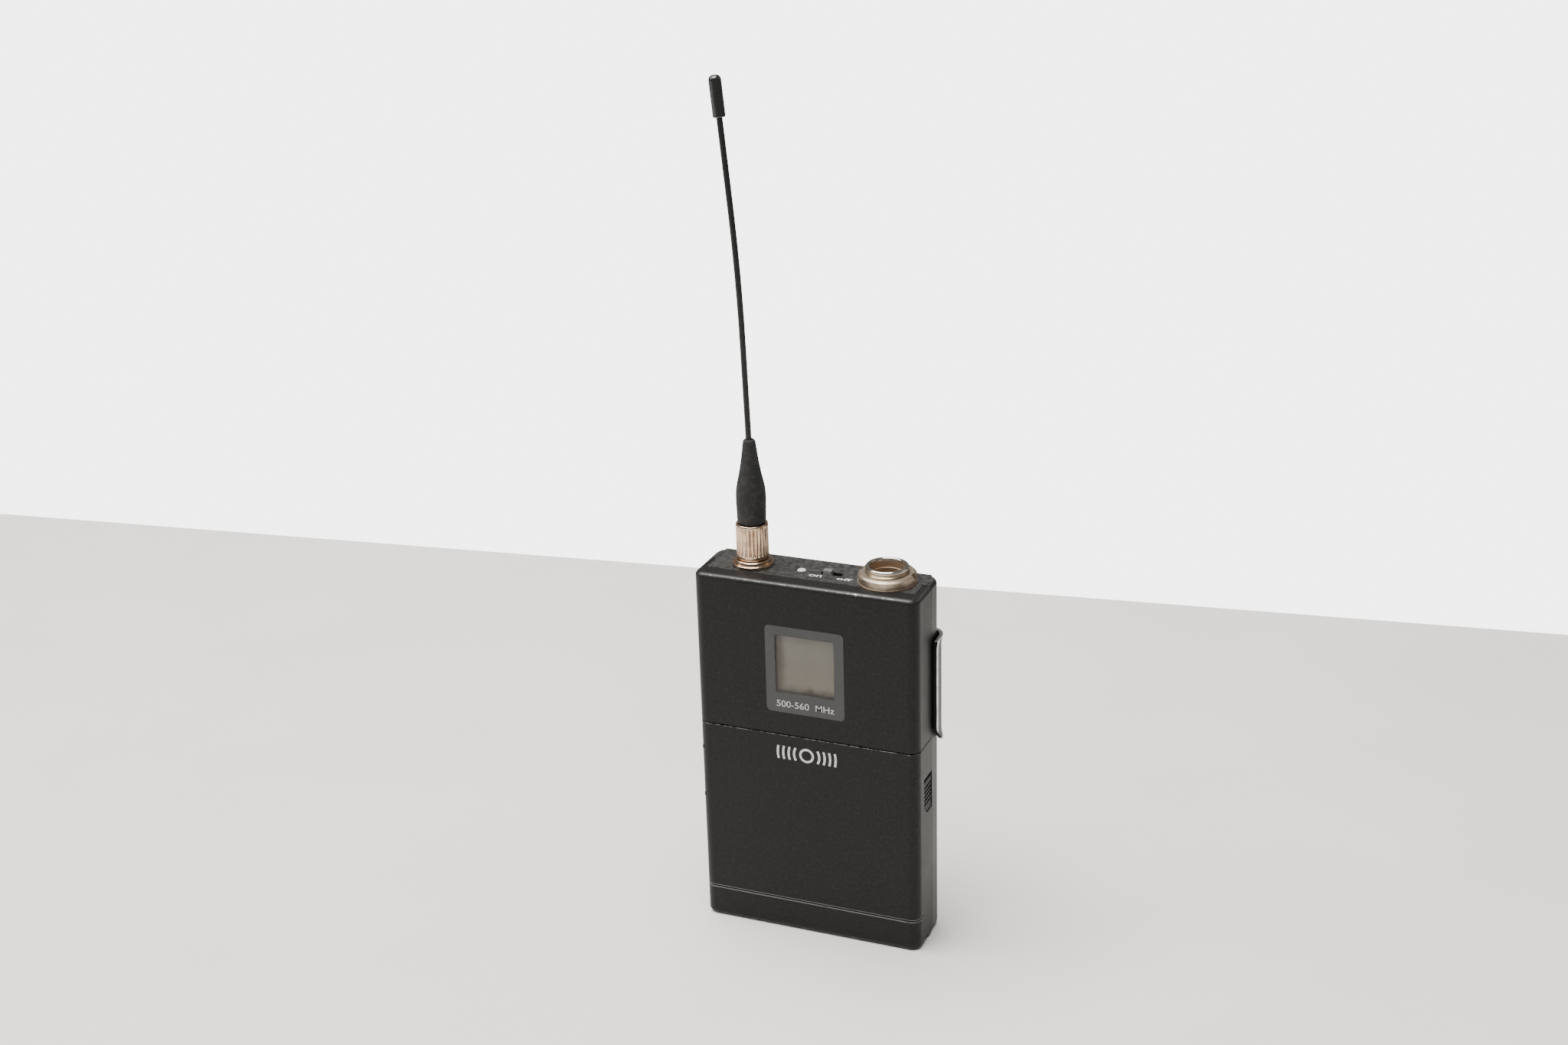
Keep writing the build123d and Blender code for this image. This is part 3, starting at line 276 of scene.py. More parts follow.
def case_paint(name, low, high, front, rear, wear, gloss):
    """Black paint on cast metal, rubbed through in places along the edges of a block, with a painted
    highlight near the edges.
    """
    paint = Finish(name, (0.010, 0.010, 0.010), 0.4)
    paint.shader.inputs["Specular IOR Level"].default_value = gloss
    paint.soften(0.12)
    side_gap = paint.less(HALF_W, paint.unsigned(paint.x))
    depth_gap = paint.inside(paint.y, front, rear)
    height_gap = paint.inside(paint.z, low, high)
    nearer = paint.smaller(side_gap, depth_gap)
    farther = paint.larger(side_gap, depth_gap)
    edge_gap = paint.larger(nearer, paint.smaller(farther, height_gap))
    where = paint.swing(paint.cloud(9.0, 3.0), 0.56, 2.6)
    ragged = paint.swing(paint.cloud(0.7, 4.0, (0.4, 1.0, 1.0)), 0.5, 2.2)
    reach = paint.plus(paint.plus(where, ragged), wear)
    bare = paint.fade(paint.less(reach, edge_gap), 0.0, 0.07)
    chips = paint.specks(6.0, 0.17, 0.30)
    bare = paint.larger(bare, chips)
    thin_paint_and_highlight = paint.fade(edge_gap, 1.0, 0.2)
    thin_paint_and_highlight = paint.times(thin_paint_and_highlight, paint.fade(height_gap, 2.6, 1.2))
    nicks = paint.fade(paint.cloud(0.5, 3.0, (0.5, 1.0, 1.0)), 0.52, 0.66)
    nicks = paint.times(nicks, paint.fade(edge_gap, 0.55, 0.25))
    bare = paint.larger(bare, paint.times(nicks, 0.55))
    grime = paint.cloud(14.0, 4.0)
    mottle = paint.cloud(0.9, 4.0)
    scuffs = paint.fade(paint.cloud(1.0, 3.0, (2.6, 2.6, 0.16)), 0.66, 0.80)
    black = paint.tint(grime, (0.0076, 0.0074, 0.0072), (0.0120, 0.0116, 0.0112))
    black = paint.tint(paint.fade(mottle, 0.40, 0.85), black, (0.017, 0.0166, 0.0160))
    # Near the edges the black is painted lighter: a painted highlight along the rounded edges, where the
    # paint is also worn thin.
    black = paint.tint(paint.times(thin_paint_and_highlight, 0.7), black, (0.085, 0.084, 0.082))
    black = paint.tint(paint.times(scuffs, 0.25), black, (0.03, 0.029, 0.027))
    paint.bare = bare
    paint.black = black
    paint.colour(paint.tint(bare, black, BARE_METAL))
    paint.metal(paint.larger(bare, paint.times(thin_paint_and_highlight, 0.6)))
    dull = paint.level(grime, 0.36, 0.48)
    dull = paint.level(thin_paint_and_highlight, dull, 0.24)
    paint.rough(paint.level(bare, paint.plus(dull, paint.times(scuffs, 0.12)), 0.33))
    paint.relief(paint.cloud(0.32, 2.0), 0.012)
    paint.relief(paint.less(1.0, bare), 0.02)
    return paint


def dress(finish, *nodes):
    """Gives CAD pieces their finish."""
    for node in nodes:
        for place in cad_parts[node].material_slots:
            place.material = finish.material


chassis_paint = case_paint("chassis_paint", low=-0.5, high=HEIGHT + 0.5,
                           front=-6.0, rear=REAR, wear=0.0, gloss=0.26)
# The top plate is painted lighter grey in blotches: dust, and a painted reflection of the bright wall.
plate_dust_and_sheen = chassis_paint.fade(chassis_paint.z, HEIGHT - 0.3, HEIGHT - 0.1)
dust_and_sheen_blotches = chassis_paint.fade(chassis_paint.cloud(1.3, 4.0), 0.25, 0.75)
plate_dust_and_sheen = chassis_paint.times(plate_dust_and_sheen, dust_and_sheen_blotches)
dust_and_sheen_black = chassis_paint.tint(plate_dust_and_sheen, chassis_paint.black, (0.052, 0.051, 0.048))
chassis_paint.colour(chassis_paint.tint(chassis_paint.bare, dust_and_sheen_black, BARE_METAL))
dress(chassis_paint, "rear_case")


def new_piece(name, mesh, finish, body):
    """Puts a finished piece on its body."""
    mesh.name = name
    mesh.materials.clear()
    mesh.materials.append(finish.material)
    piece = bpy.data.objects.new(name, mesh)
    bpy.context.scene.collection.objects.link(piece)
    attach(piece, body)
    return piece


# ---- Marks on the top plate ----
# "on" and "off" are pad-printed in white on the paint, one at each end of the switch. The ink is a thin
# film, a little worn.
def ink(name, colour):
    """Pad-printing ink, slightly uneven."""
    film = Finish(name, colour, 0.55)
    thin = film.cloud(0.8, 3.0)
    worn = tuple(0.78 * c for c in colour)
    film.colour(film.tint(film.fade(thin, 0.35, 0.65), worn, colour))
    film.rough(film.level(thin, 0.45, 0.65))
    film.relief(thin, 0.01)
    return film


FILM = 0.02


def lettering(name, words, x, up, face, finish, body, slot, on_top=False, weight=0.0):
    """Printed words that fill a box: x across, and up along the face."""
    curve = bpy.data.curves.new(name, "FONT")
    curve.body = words
    curve.extrude = 0.5
    curve.offset = weight
    text = bpy.data.objects.new(name + ".outline", curve)
    bpy.context.scene.collection.objects.link(text)
    outline = text.evaluated_get(bpy.context.evaluated_depsgraph_get())
    mesh = bpy.data.meshes.new_from_object(outline)
    bpy.data.objects.remove(text)
    across = [v.co.x for v in mesh.vertices]
    tall = [v.co.y for v in mesh.vertices]
    for vertex in mesh.vertices:
        u = x[0] + (x[1] - x[0]) * (vertex.co.x - min(across)) / (max(across) - min(across))
        v = up[0] + (up[1] - up[0]) * (vertex.co.y - min(tall)) / (max(tall) - min(tall))
        proud = FILM * (vertex.co.z + 0.5)
        if on_top:
            vertex.co = (u / 1000, v / 1000, (face + proud) / 1000)
        else:
            vertex.co = (u / 1000, (face - proud) / 1000, v / 1000)
    return new_piece(name, mesh, finish, body)


ON_SPAN = (-1.2, 2.2)
OFF_SPAN = (6.3, 10.3)
LETTERS_LOW = -2.05
LETTERS_HIGH = -0.80
TALL_LETTERS_HIGH = -0.65
white_ink = ink("white_ink", (0.62, 0.62, 0.60))
plate_print = {"face": HEIGHT, "finish": white_ink, "body": "case", "slot": "led_lens", "on_top": True}
lettering("mark_on", "on", ON_SPAN, (LETTERS_LOW, LETTERS_HIGH), weight=0.012, **plate_print)
lettering("mark_off", "off", OFF_SPAN, (LETTERS_LOW, TALL_LETTERS_HIGH), weight=0.012, **plate_print)


# ---- Front case ----
# The upper half of the front is a second casting, screwed to the chassis from the back. It has the same
# black paint with its painted highlight along the edges, and its top front edge is rubbed most.
front_paint = case_paint("front_case_paint", low=SPLIT - 0.9, high=HEIGHT,
                         front=FRONT, rear=SEAM + 1.5, wear=0.06, gloss=0.14)
dress(front_paint, "front_case")


# ---- Display ----
# A dark grey moulded bezel holds a clear flush window, and the display's glass sits just behind it.
# The display is off: a warm grey field with painted light, lighter towards the top, and browned along its
# left and lower edges.
bezel_grey = Finish("bezel_plastic", (0.055, 0.056, 0.058), 0.38)
bezel_grey.shader.inputs["Specular IOR Level"].default_value = 0.22
bezel_grey.soften(0.15)
bezel_grain = bezel_grey.cloud(0.3, 2.0)
bezel_blotches = bezel_grey.cloud(7.0, 3.0)
bezel_grey.colour(bezel_grey.tint(bezel_blotches, (0.046, 0.0465, 0.0475), (0.058, 0.0585, 0.0595)))
bezel_grey.rough(bezel_grey.level(bezel_grain, 0.33, 0.45))
bezel_grey.relief(bezel_grain, 0.006)
dress(bezel_grey, "display_bezel")
RANGE_HALF_W = 7.9
RANGE_UP = (65.7, 67.5)
range_ink = ink("range_ink", (0.50, 0.50, 0.49))
lettering("mark_range", "500-560  MHz", (-RANGE_HALF_W, RANGE_HALF_W), RANGE_UP,
          face=FRONT, finish=range_ink, body="case", slot="led_lens", weight=0.004)

window_plastic = Finish("display_window", (0.10, 0.098, 0.085), 0.06)
window_plastic.shader.inputs["Alpha"].default_value = 0.2
window_plastic.shader.inputs["Coat Weight"].default_value = 0.3
window_plastic.shader.inputs["Coat Roughness"].default_value = 0.04
window_haze = window_plastic.cloud(2.5, 4.0)
window_plastic.rough(window_plastic.level(window_haze, 0.05, 0.16))
window_plastic.colour(window_plastic.tint(window_haze, (0.05, 0.048, 0.042), (0.09, 0.085, 0.075)))
window_plastic.relief(window_haze, 0.004)
dress(window_plastic, "display_lens")

LCD_SIDE = 8.05
LCD_MID = 77.65
lcd_glass = Finish("display_glass", (0.2, 0.19, 0.15), 0.25)
lcd_warm = lcd_glass.cloud(9.0, 2.0)
lcd_field = lcd_glass.tint(lcd_warm, (0.19, 0.168, 0.130), (0.29, 0.265, 0.215))
# Painted light: the field is painted lighter towards the top.
painted_light_towards_top = lcd_glass.fade(lcd_glass.z, LCD_MID - 9, LCD_MID + 14)
lcd_field = lcd_glass.tint(painted_light_towards_top, lcd_field, (0.25, 0.235, 0.20))
from_left = lcd_glass.plus(lcd_glass.x, LCD_SIDE)
from_low = lcd_glass.less(lcd_glass.z, LCD_MID - LCD_SIDE)
edge_run = lcd_glass.smaller(from_left, lcd_glass.plus(from_low, 0.6))
edge_run = lcd_glass.plus(edge_run, lcd_glass.times(lcd_glass.cloud(4.0, 4.0), 2.2))
browned = lcd_glass.fade(edge_run, 4.6, 1.6)
lcd_field = lcd_glass.tint(lcd_glass.times(browned, 0.85), lcd_field, (0.050, 0.032, 0.019))
BLOT_X = 1.2
blot_x = lcd_glass.times(lcd_glass.unsigned(lcd_glass.less(lcd_glass.x, BLOT_X)), 0.8)
blot = lcd_glass.fade(lcd_glass.plus(blot_x, from_low), 2.6, 1.2)
lcd_field = lcd_glass.tint(lcd_glass.times(blot, 0.8), lcd_field, (0.045, 0.020, 0.012))
lcd_glass.colour(lcd_field)
lcd_glass.rough(lcd_glass.level(lcd_warm, 0.24, 0.34))
lcd_glass.relief(lcd_warm, 0.004)
dress(lcd_glass, "lcd_module")


# ---- Circuit boards ----
# Two glass-fibre boards with green solder mask, joined by a black pin header. A tinned steel can covers
# the radio circuit. Pan-head screws hold both boards to posts cast in the case.
def board_finish(name):
    """Green solder mask over copper tracks, with tinned pads."""
    board = Finish(name, (0.02, 0.13, 0.05), 0.32)
    bent_x = board.plus(board.x, board.times(board.cloud(6.0), 9.0))
    bent_z = board.plus(board.z, board.times(board.cloud(8.0), 7.0))
    tracks_x = board.fade(board.work_out("PINGPONG", bent_x, 0.5), 0.22, 0.28)
    tracks_z = board.fade(board.work_out("PINGPONG", bent_z, 0.6), 0.30, 0.36)
    tracks = board.larger(tracks_x, tracks_z)
    mask = board.tint(tracks, (0.012, 0.085, 0.032), (0.03, 0.19, 0.075))
    pads = board.specks(1.9, 0.34, 0.55)
    board.colour(board.tint(pads, mask, (0.66, 0.65, 0.60)))
    board.metal(pads)
    board.rough(board.level(tracks, 0.36, 0.26))
    board.relief(board.larger(tracks, pads), 0.03)
    return board


solder_mask = board_finish("solder_mask")
dress(solder_mask, "radio_board", "control_board", "main_board")


def black_moulding(name, shade, rough, grain=0.4, soft=0.15):
    """Moulded black plastic with a fine spark-eroded grain."""
    plastic = Finish(name, (shade, shade, shade * 1.02), rough)
    plastic.shader.inputs["Specular IOR Level"].default_value = 0.25
    plastic.soften(soft)
    pits = plastic.cloud(grain, 3.0)
    blotch = plastic.cloud(6.0, 2.0)
    plastic.colour(plastic.tint(blotch, (shade * 0.8,) * 3, (shade * 1.3,) * 3))
    plastic.rough(plastic.level(pits, rough - 0.08, rough + 0.1))
    plastic.relief(pits, 0.012)
    return plastic


header_plastic = black_moulding("header_plastic", shade=0.02, rough=0.5)
dress(header_plastic, "board_header")


def plated(name, colour, rough, x=0.0, y=0.0, smudge=0.12):
    """Plated metal turned about an upright axis: fine rings, finger marks and a few scratches."""
    metal = Finish(name, colour, rough, 1.0)
    metal.soften(0.08)
    radius = metal.across(x, y)
    drift = metal.times(metal.x, 0.06)
    ring_place = metal.node("CombineXYZ", {0: radius, 1: drift, 2: metal.z}).outputs[0]
    rings = metal.node("TexNoise", {"Vector": ring_place, "Scale": 9.0, "Detail": 2.0}).outputs[0]
    marks = metal.cloud(2.2, 4.0)
    dark = tuple(0.72 * c for c in colour)
    metal.colour(metal.tint(metal.fade(marks, 0.40, 0.68), colour, dark))
    uneven = metal.plus(metal.swing(marks, 0.45, smudge * 2.0), rough)
    metal.rough(metal.plus(uneven, metal.swing(rings, 0.5, 0.16)))
    metal.relief(rings, 0.004)
    return metal


tin_plate = plated("tin_plate", (0.66, 0.66, 0.64), 0.34)
dress(tin_plate, "shield_can")
screw_steel = plated("screw_steel", (0.20, 0.20, 0.205), 0.36)
dress(screw_steel, "board_screws")


# ---- Case screws ----
# Four countersunk screws of blackened steel. They are driven from the back, through the chassis, into the
# front casting's bosses.
dress(screw_steel, "case_screws")


# ---- Indicator and switch ----
# A milky light pipe shows the indicator. The switch's knob is a small grey moulding with grooves on top.
# It slides in a slot of the plate, over its black housing.
light_pipe = Finish("light_pipe", (0.62, 0.62, 0.58), 0.22)
light_pipe.shader.inputs["Subsurface Weight"].default_value = 0.35
light_pipe.shader.inputs["Subsurface Radius"].default_value = (0.0008, 0.0008, 0.0007)
pipe_cloud = light_pipe.cloud(0.9, 2.0)
light_pipe.colour(light_pipe.tint(pipe_cloud, (0.50, 0.50, 0.46), (0.70, 0.70, 0.66)))
light_pipe.rough(light_pipe.level(pipe_cloud, 0.15, 0.3))
light_pipe.relief(pipe_cloud, 0.004)
dress(light_pipe, "led_lens")
dress(black_moulding("switch_plastic", shade=0.015, rough=0.5), "switch_body")

knob_plastic = Finish("knob_plastic", (0.16, 0.16, 0.158), 0.45)
knob_plastic.soften(0.12)
knob_dust = knob_plastic.cloud(0.5, 3.0)
knob_plastic.colour(knob_plastic.tint(knob_dust, (0.11, 0.11, 0.108), (0.22, 0.22, 0.215)))
knob_plastic.rough(knob_plastic.level(knob_dust, 0.36, 0.55))
knob_plastic.relief(knob_dust, 0.01)
dress(knob_plastic, "switch_knob")


# ---- Microphone jack ----
# A turned brass shell, plated bright, with a thread outside and a rolled rim. It goes through the plate
# from below, with a keyed black insert and four gold-plated pins. A ring nut and a washer clamp it.
JACK_X = 18.9
ROW_Y = 1.15


def turned_piece(outline, x, y, sides, radius_at=None):
    """A mesh of revolution about an upright axis, from a closed outline of (radius, height) points."""
    work = bmesh.new()
    rings = []
    for r, z in outline:
        ring = []
        for step in range(sides):
            turn = 2 * pi * step / sides
            reach = radius_at(r, z, turn) if radius_at else r
            side = x + reach * cos(turn)
            back = y + reach * sin(turn)
            ring.append(work.verts.new((side / 1000, back / 1000, z / 1000)))
        rings.append(ring)
    for below, above in zip(rings, rings[1:] + rings[:1]):
        for step in range(sides):
            after = (step + 1) % sides
            work.faces.new((below[step], below[after], above[after], above[step]))
    bmesh.ops.recalc_face_normals(work, faces=work.faces)
    mesh = bpy.data.meshes.new("turned")
    work.to_mesh(mesh)
    work.free()
    mesh.shade_smooth()
    mesh.set_sharp_from_angle(angle=radians(40))
    return mesh


JACK_BORE_R = 4.2
JACK_MOUTH_R = 4.4
JACK_BARREL_R = 4.6
JACK_FLANGE_R = 6.3
JACK_LOW = 89.0
JACK_FLANGE_LOW = 96.9
JACK_FLANGE_HIGH = 98.4
MOUTH_FLOOR = 101.9
THREAD_R = 5.55
THREAD_START = 98.5
THREAD_STEP = 0.07
THREAD_PITCH = 0.7
THREAD_DEPTH = 0.28
GROOVE_R = 5.22
RIM_R = 4.98
RIM_MID = 103.95
RIM_ROLL_R = 0.55
jack_outline = [(JACK_BORE_R, JACK_LOW), (JACK_BARREL_R, JACK_LOW), (JACK_BARREL_R, JACK_FLANGE_LOW)]
jack_outline += [(JACK_FLANGE_R, JACK_FLANGE_LOW), (JACK_FLANGE_R, JACK_FLANGE_HIGH)]
jack_outline += [(THREAD_R, JACK_FLANGE_HIGH)]
jack_outline += [(THREAD_R, THREAD_START + THREAD_STEP * step) for step in range(66)]
jack_outline += [(5.3, 103.12), (GROOVE_R, 103.2), (GROOVE_R, 103.42), (5.3, 103.5)]
for step in range(13):
    bend = radians(-30 + 15 * step)
    jack_outline.append((RIM_R + RIM_ROLL_R * cos(bend), RIM_MID + RIM_ROLL_R * sin(bend)))
jack_outline += [(4.42, 103.8), (JACK_MOUTH_R, 103.6), (JACK_MOUTH_R, 101.95)]
jack_outline += [(4.35, MOUTH_FLOOR), (JACK_BORE_R, MOUTH_FLOOR)]


def thread_radius(r, z, turn):
    """Cuts a fine helical thread between the flange and the groove under the rim."""
    if r != THREAD_R or z < THREAD_START:
        return r
    wave = 0.5 - 0.5 * cos(2 * pi * (z / THREAD_PITCH - turn / (2 * pi)))
    return r - THREAD_DEPTH * wave


bright_plate = plated("bright_plate", (0.62, 0.58, 0.52), 0.13, JACK_X, ROW_Y, smudge=0.06)
from_axis = bright_plate.across(JACK_X, ROW_Y)
# Inside the mouth, below the rim, the plating is painted darker brown: painted shade in the bore.
jack_inside = bright_plate.fade(from_axis, 4.65, 4.45)
bore_painted_shade = bright_plate.times(jack_inside, bright_plate.fade(bright_plate.z, 104.0, 103.6))
jack_thread = bright_plate.fade(from_axis, 4.8, 5.0)
jack_thread = bright_plate.times(jack_thread, bright_plate.fade(bright_plate.z, 103.5, 103.3))
jack_marks = bright_plate.tint(bright_plate.cloud(1.4, 4.0), (0.66, 0.62, 0.56), (0.46, 0.41, 0.34))
jack_marks = bright_plate.tint(jack_thread, jack_marks, (0.44, 0.36, 0.25))
bright_plate.colour(bright_plate.tint(bore_painted_shade, jack_marks, (0.44, 0.33, 0.24)))
bright_plate.rough(bright_plate.level(bore_painted_shade, bright_plate.level(jack_thread, 0.14, 0.3), 0.55))
jack_mesh = turned_piece(jack_outline, JACK_X, ROW_Y, sides=96, radius_at=thread_radius)
jack_shell = new_piece("jack_shell", jack_mesh, bright_plate, "case")
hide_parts("mic_jack_shell")
dress(black_moulding("jack_insert_plastic", shade=0.03, rough=0.5), "mic_jack_insert")
gold_plate = plated("gold_plate", (0.66, 0.48, 0.24), 0.38, JACK_X, ROW_Y, smudge=0.06)
dress(gold_plate, "mic_jack_pins")
satin_nickel = plated("satin_nickel", (0.47, 0.385, 0.30), 0.42, JACK_X, ROW_Y, smudge=0.10)
dress(satin_nickel, "jack_washer", "jack_nut")


# ---- Antenna connector ----
# A nickel-plated stud through the plate: a flange and a polished step outside, a hexagon nut inside, and
# a white insulator round the centre contact.
ANTENNA_X = -17.6
# The nickel's colour is tinted warm copper-brown as a painted reflection of an orange wooden floor.
antenna_nickel_painted_reflection = plated("antenna_nickel_painted_reflection", (0.62, 0.45, 0.32), 0.2, ANTENNA_X, ROW_Y, smudge=0.06)
dress(antenna_nickel_painted_reflection, "antenna_connector", "antenna_nut", "antenna_ferrule")
insulator_white = Finish("insulator_white", (0.72, 0.70, 0.65), 0.42)
insulator_cloud = insulator_white.cloud(1.2, 3.0)
insulator_white.colour(insulator_white.tint(insulator_cloud, (0.62, 0.60, 0.54), (0.78, 0.76, 0.71)))
insulator_white.rough(insulator_white.level(insulator_cloud, 0.35, 0.52))
insulator_white.relief(insulator_cloud, 0.01)
dress(insulator_white, "antenna_insulator")
dress(gold_plate, "antenna_pin")


# ---- Antenna collar ----
# The coupling collar is turned from brass bar, milled with straight flutes for the fingers, and plated
# with nickel. It spins on the antenna's ferrule and screws down on the stud.
FLUTES = 24
FLUTE_DEPTH = 0.34
COLLAR_R = 4.15
FLUTED_R = 4.149
COLLAR_THREAD_R = 3.15
COLLAR_HOLE_R = 2.05
COLLAR_STEP = 107.58
collar_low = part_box("antenna_collar")[0].z * 1000
collar_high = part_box("antenna_collar")[1].z * 1000
collar_outline = [(COLLAR_THREAD_R, collar_low), (3.8, collar_low)]
collar_outline += [(4.02, collar_low + 0.1), (4.12, collar_low + 0.3)]
collar_outline += [(COLLAR_R, collar_low + up) for up in (0.5, 0.9, 1.1)]
collar_outline += [(FLUTED_R, collar_low + 1.25), (FLUTED_R, collar_high - 0.95)]
collar_outline += [(COLLAR_R, collar_high - 0.8), (COLLAR_R, collar_high - 0.45)]
collar_outline += [(4.1, collar_high - 0.2), (3.95, collar_high - 0.05), (3.75, collar_high)]
collar_outline += [(COLLAR_HOLE_R, collar_high), (COLLAR_HOLE_R, COLLAR_STEP)]
collar_outline += [(COLLAR_THREAD_R, COLLAR_STEP)]


def flute_radius(r, z, turn):
    """Mills the straight flutes between the two plain rims."""
    if r != FLUTED_R:
        return r
    wave = 0.5 + 0.5 * cos(FLUTES * turn)
    return r - FLUTE_DEPTH * wave ** 2.2


collar_mesh = turned_piece(collar_outline, ANTENNA_X, ROW_Y, sides=FLUTES * 10, radius_at=flute_radius)
collar = new_piece("fluted_collar", collar_mesh, antenna_nickel_painted_reflection, "collar")
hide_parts("antenna_collar")


# ---- Antenna boot, whip and tip ----
# A spring wire in black heat-shrink carries a glossy moulded cap. A soft rubber boot, moulded over the
# wire and the ferrule, takes the bending; it is dusty.
rubber = Finish("boot_rubber", (0.026, 0.026, 0.027), 0.72)
rubber_dust = rubber.cloud(1.6, 5.0)
rubber_pits = rubber.cloud(0.35, 3.0)
dusty = rubber.fade(rubber_dust, 0.42, 0.80)
rubber.colour(rubber.tint(dusty, (0.014, 0.014, 0.0145), (0.032, 0.031, 0.030)))
rubber.shader.inputs["Specular IOR Level"].default_value = 0.3
rubber.rough(rubber.level(rubber_pits, 0.62, 0.82))
rubber.relief(rubber_pits, 0.008)
BOOT_LOW = 111.62
BOOT_HOLE_R = 0.77
BOOT_SOCKET_R = 2.02
BOOT_POINTS = [
    (3.38, BOOT_LOW), (3.62, 111.95), (3.70, 112.6), (3.74, 114.0), (3.80, 116.0), (3.84, 118.0),
    (3.80, 119.6), (3.62, 121.2), (3.30, 122.8), (2.90, 124.6), (2.52, 126.6), (2.18, 128.8),
    (1.88, 131.0), (1.66, 132.8), (1.52, 133.4), (1.25, 133.72), (0.95, 133.8),
]


def smooth_run(points, parts):
    """Points along a smooth curve through the given ones."""
    run = []
    for i in range(len(points) - 1):
        p0 = Vector(points[max(i - 1, 0)])
        p1 = Vector(points[i])
        p2 = Vector(points[i + 1])
        p3 = Vector(points[min(i + 2, len(points) - 1)])
        for part in range(parts):
            t = part / parts
            square = (2 * p0 - 5 * p1 + 4 * p2 - p3) * t ** 2
            cube = (3 * p1 - p0 - 3 * p2 + p3) * t ** 3
            run.append(tuple(0.5 * (2 * p1 + (p2 - p0) * t + square + cube)))
    return run + [tuple(points[-1])]


boot_outline = smooth_run(BOOT_POINTS, 4)
boot_outline += [(BOOT_HOLE_R, 133.78), (BOOT_HOLE_R, 117.0)]
boot_outline += [(BOOT_SOCKET_R, 116.8), (BOOT_SOCKET_R, BOOT_LOW)]
boot_mesh = turned_piece(boot_outline, ANTENNA_X, ROW_Y, sides=64)
boot = new_piece("rubber_boot", boot_mesh, rubber, "antenna")
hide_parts("antenna_boot")

whip_sleeve = Finish("whip_sleeve", (0.012, 0.012, 0.013), 0.36)
whip_sleeve.shader.inputs["Specular IOR Level"].default_value = 0.3
sleeve_grain = whip_sleeve.cloud(0.5, 3.0, (1.0, 1.0, 0.3))
whip_sleeve.colour(whip_sleeve.tint(whip_sleeve.cloud(8.0), (0.006, 0.006, 0.006), (0.011, 0.011, 0.011)))
whip_sleeve.rough(whip_sleeve.level(sleeve_grain, 0.28, 0.46))
whip_sleeve.relief(sleeve_grain, 0.003)
dress(whip_sleeve, "antenna_whip")

tip_plastic = Finish("tip_plastic", (0.010, 0.010, 0.010), 0.16)
tip_plastic.shader.inputs["Coat Weight"].default_value = 0.4
tip_marks = tip_plastic.cloud(2.0, 4.0)
tip_plastic.colour(tip_plastic.tint(tip_marks, (0.008, 0.008, 0.008), (0.020, 0.020, 0.020)))
tip_plastic.rough(tip_plastic.level(tip_marks, 0.12, 0.2))
tip_plastic.relief(tip_marks, 0.001)
dress(tip_plastic, "antenna_tip")


# ---- Cells ----
# Two AA cells stand in the bay, the left one with its button up and the right one with its button down.
# Each is a steel can in a shrunk plastic jacket, dark blue with a silver band at the button's end.
CELL_X = 17.3
JACKET_LOW = 4.9
JACKET_HIGH = 53.1
CELL_TURN_OVER = 59.0
BAND = (42.0, 60.0)
STRIPE = (40.6, 41.2)


def cell_jacket(name, x, button_up):
    """A printed jacket on a steel can, bare at both ends."""
    jacket = Finish(name, (0.02, 0.05, 0.12), 0.25)
    end_disc = jacket.fade(jacket.across(x, 0.0), 6.5, 6.3)
    ends = jacket.less(1.0, jacket.between(jacket.z, JACKET_LOW, JACKET_HIGH, 0.1))
    steel = jacket.times(end_disc, ends)
    along = jacket.z if button_up else jacket.less(CELL_TURN_OVER, jacket.z)
    band = jacket.between(along, *BAND)
    stripe = jacket.between(along, *STRIPE)
    wear = jacket.cloud(3.0, 4.0)
    blue = jacket.tint(wear, (0.012, 0.030, 0.075), (0.022, 0.050, 0.115))
    shade = jacket.tint(jacket.larger(band, stripe), blue, (0.50, 0.50, 0.49))
    jacket.colour(jacket.tint(steel, shade, (0.62, 0.61, 0.58)))
    jacket.metal(jacket.larger(steel, jacket.times(band, 0.7)))
    jacket.rough(jacket.level(wear, 0.18, 0.34))
    jacket.relief(jacket.cloud(4.0, 1.0), 0.02)
    return jacket


dress(cell_jacket("cell_jacket_left", -CELL_X, button_up=True), "battery_left")
dress(cell_jacket("cell_jacket_right", CELL_X, button_up=False), "battery_right")
spring_nickel = plated("spring_nickel", (0.66, 0.64, 0.60), 0.28)
dress(spring_nickel, "battery_bridge", "battery_plus_contact", "battery_spring")


# ---- Control panel ----
# Behind the door a black moulding fills the space between the cells. It carries a small board, two round
# grey buttons and a dark red window for the infrared link.
panel_plastic = black_moulding("panel_plastic", shade=0.022, rough=0.5)
dress(panel_plastic, "control_panel")
button_rubber = Finish("button_rubber", (0.33, 0.33, 0.32), 0.6)
button_rubber.soften(0.2)
button_dust = button_rubber.cloud(0.7, 3.0)
button_rubber.colour(button_rubber.tint(button_dust, (0.27, 0.27, 0.262), (0.38, 0.38, 0.37)))
button_rubber.rough(button_rubber.level(button_dust, 0.5, 0.7))
button_rubber.relief(button_dust, 0.02)
dress(button_rubber, "button_enter", "button_menu")
infrared_window = Finish("infrared_window", (0.045, 0.004, 0.008), 0.1)
window_marks = infrared_window.cloud(1.5, 4.0)
infrared_window.colour(infrared_window.tint(window_marks, (0.035, 0.003, 0.006), (0.065, 0.008, 0.014)))
infrared_window.rough(infrared_window.level(window_marks, 0.06, 0.18))
infrared_window.relief(window_marks, 0.004)
dress(infrared_window, "ir_window")
panel_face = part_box("control_panel")[0].y * 1000
panel_ink = ink("panel_ink", (0.55, 0.55, 0.53))
BUTTON_WORD = (-3.0, 3.0)
ENTER_UP = (50.4, 51.7)
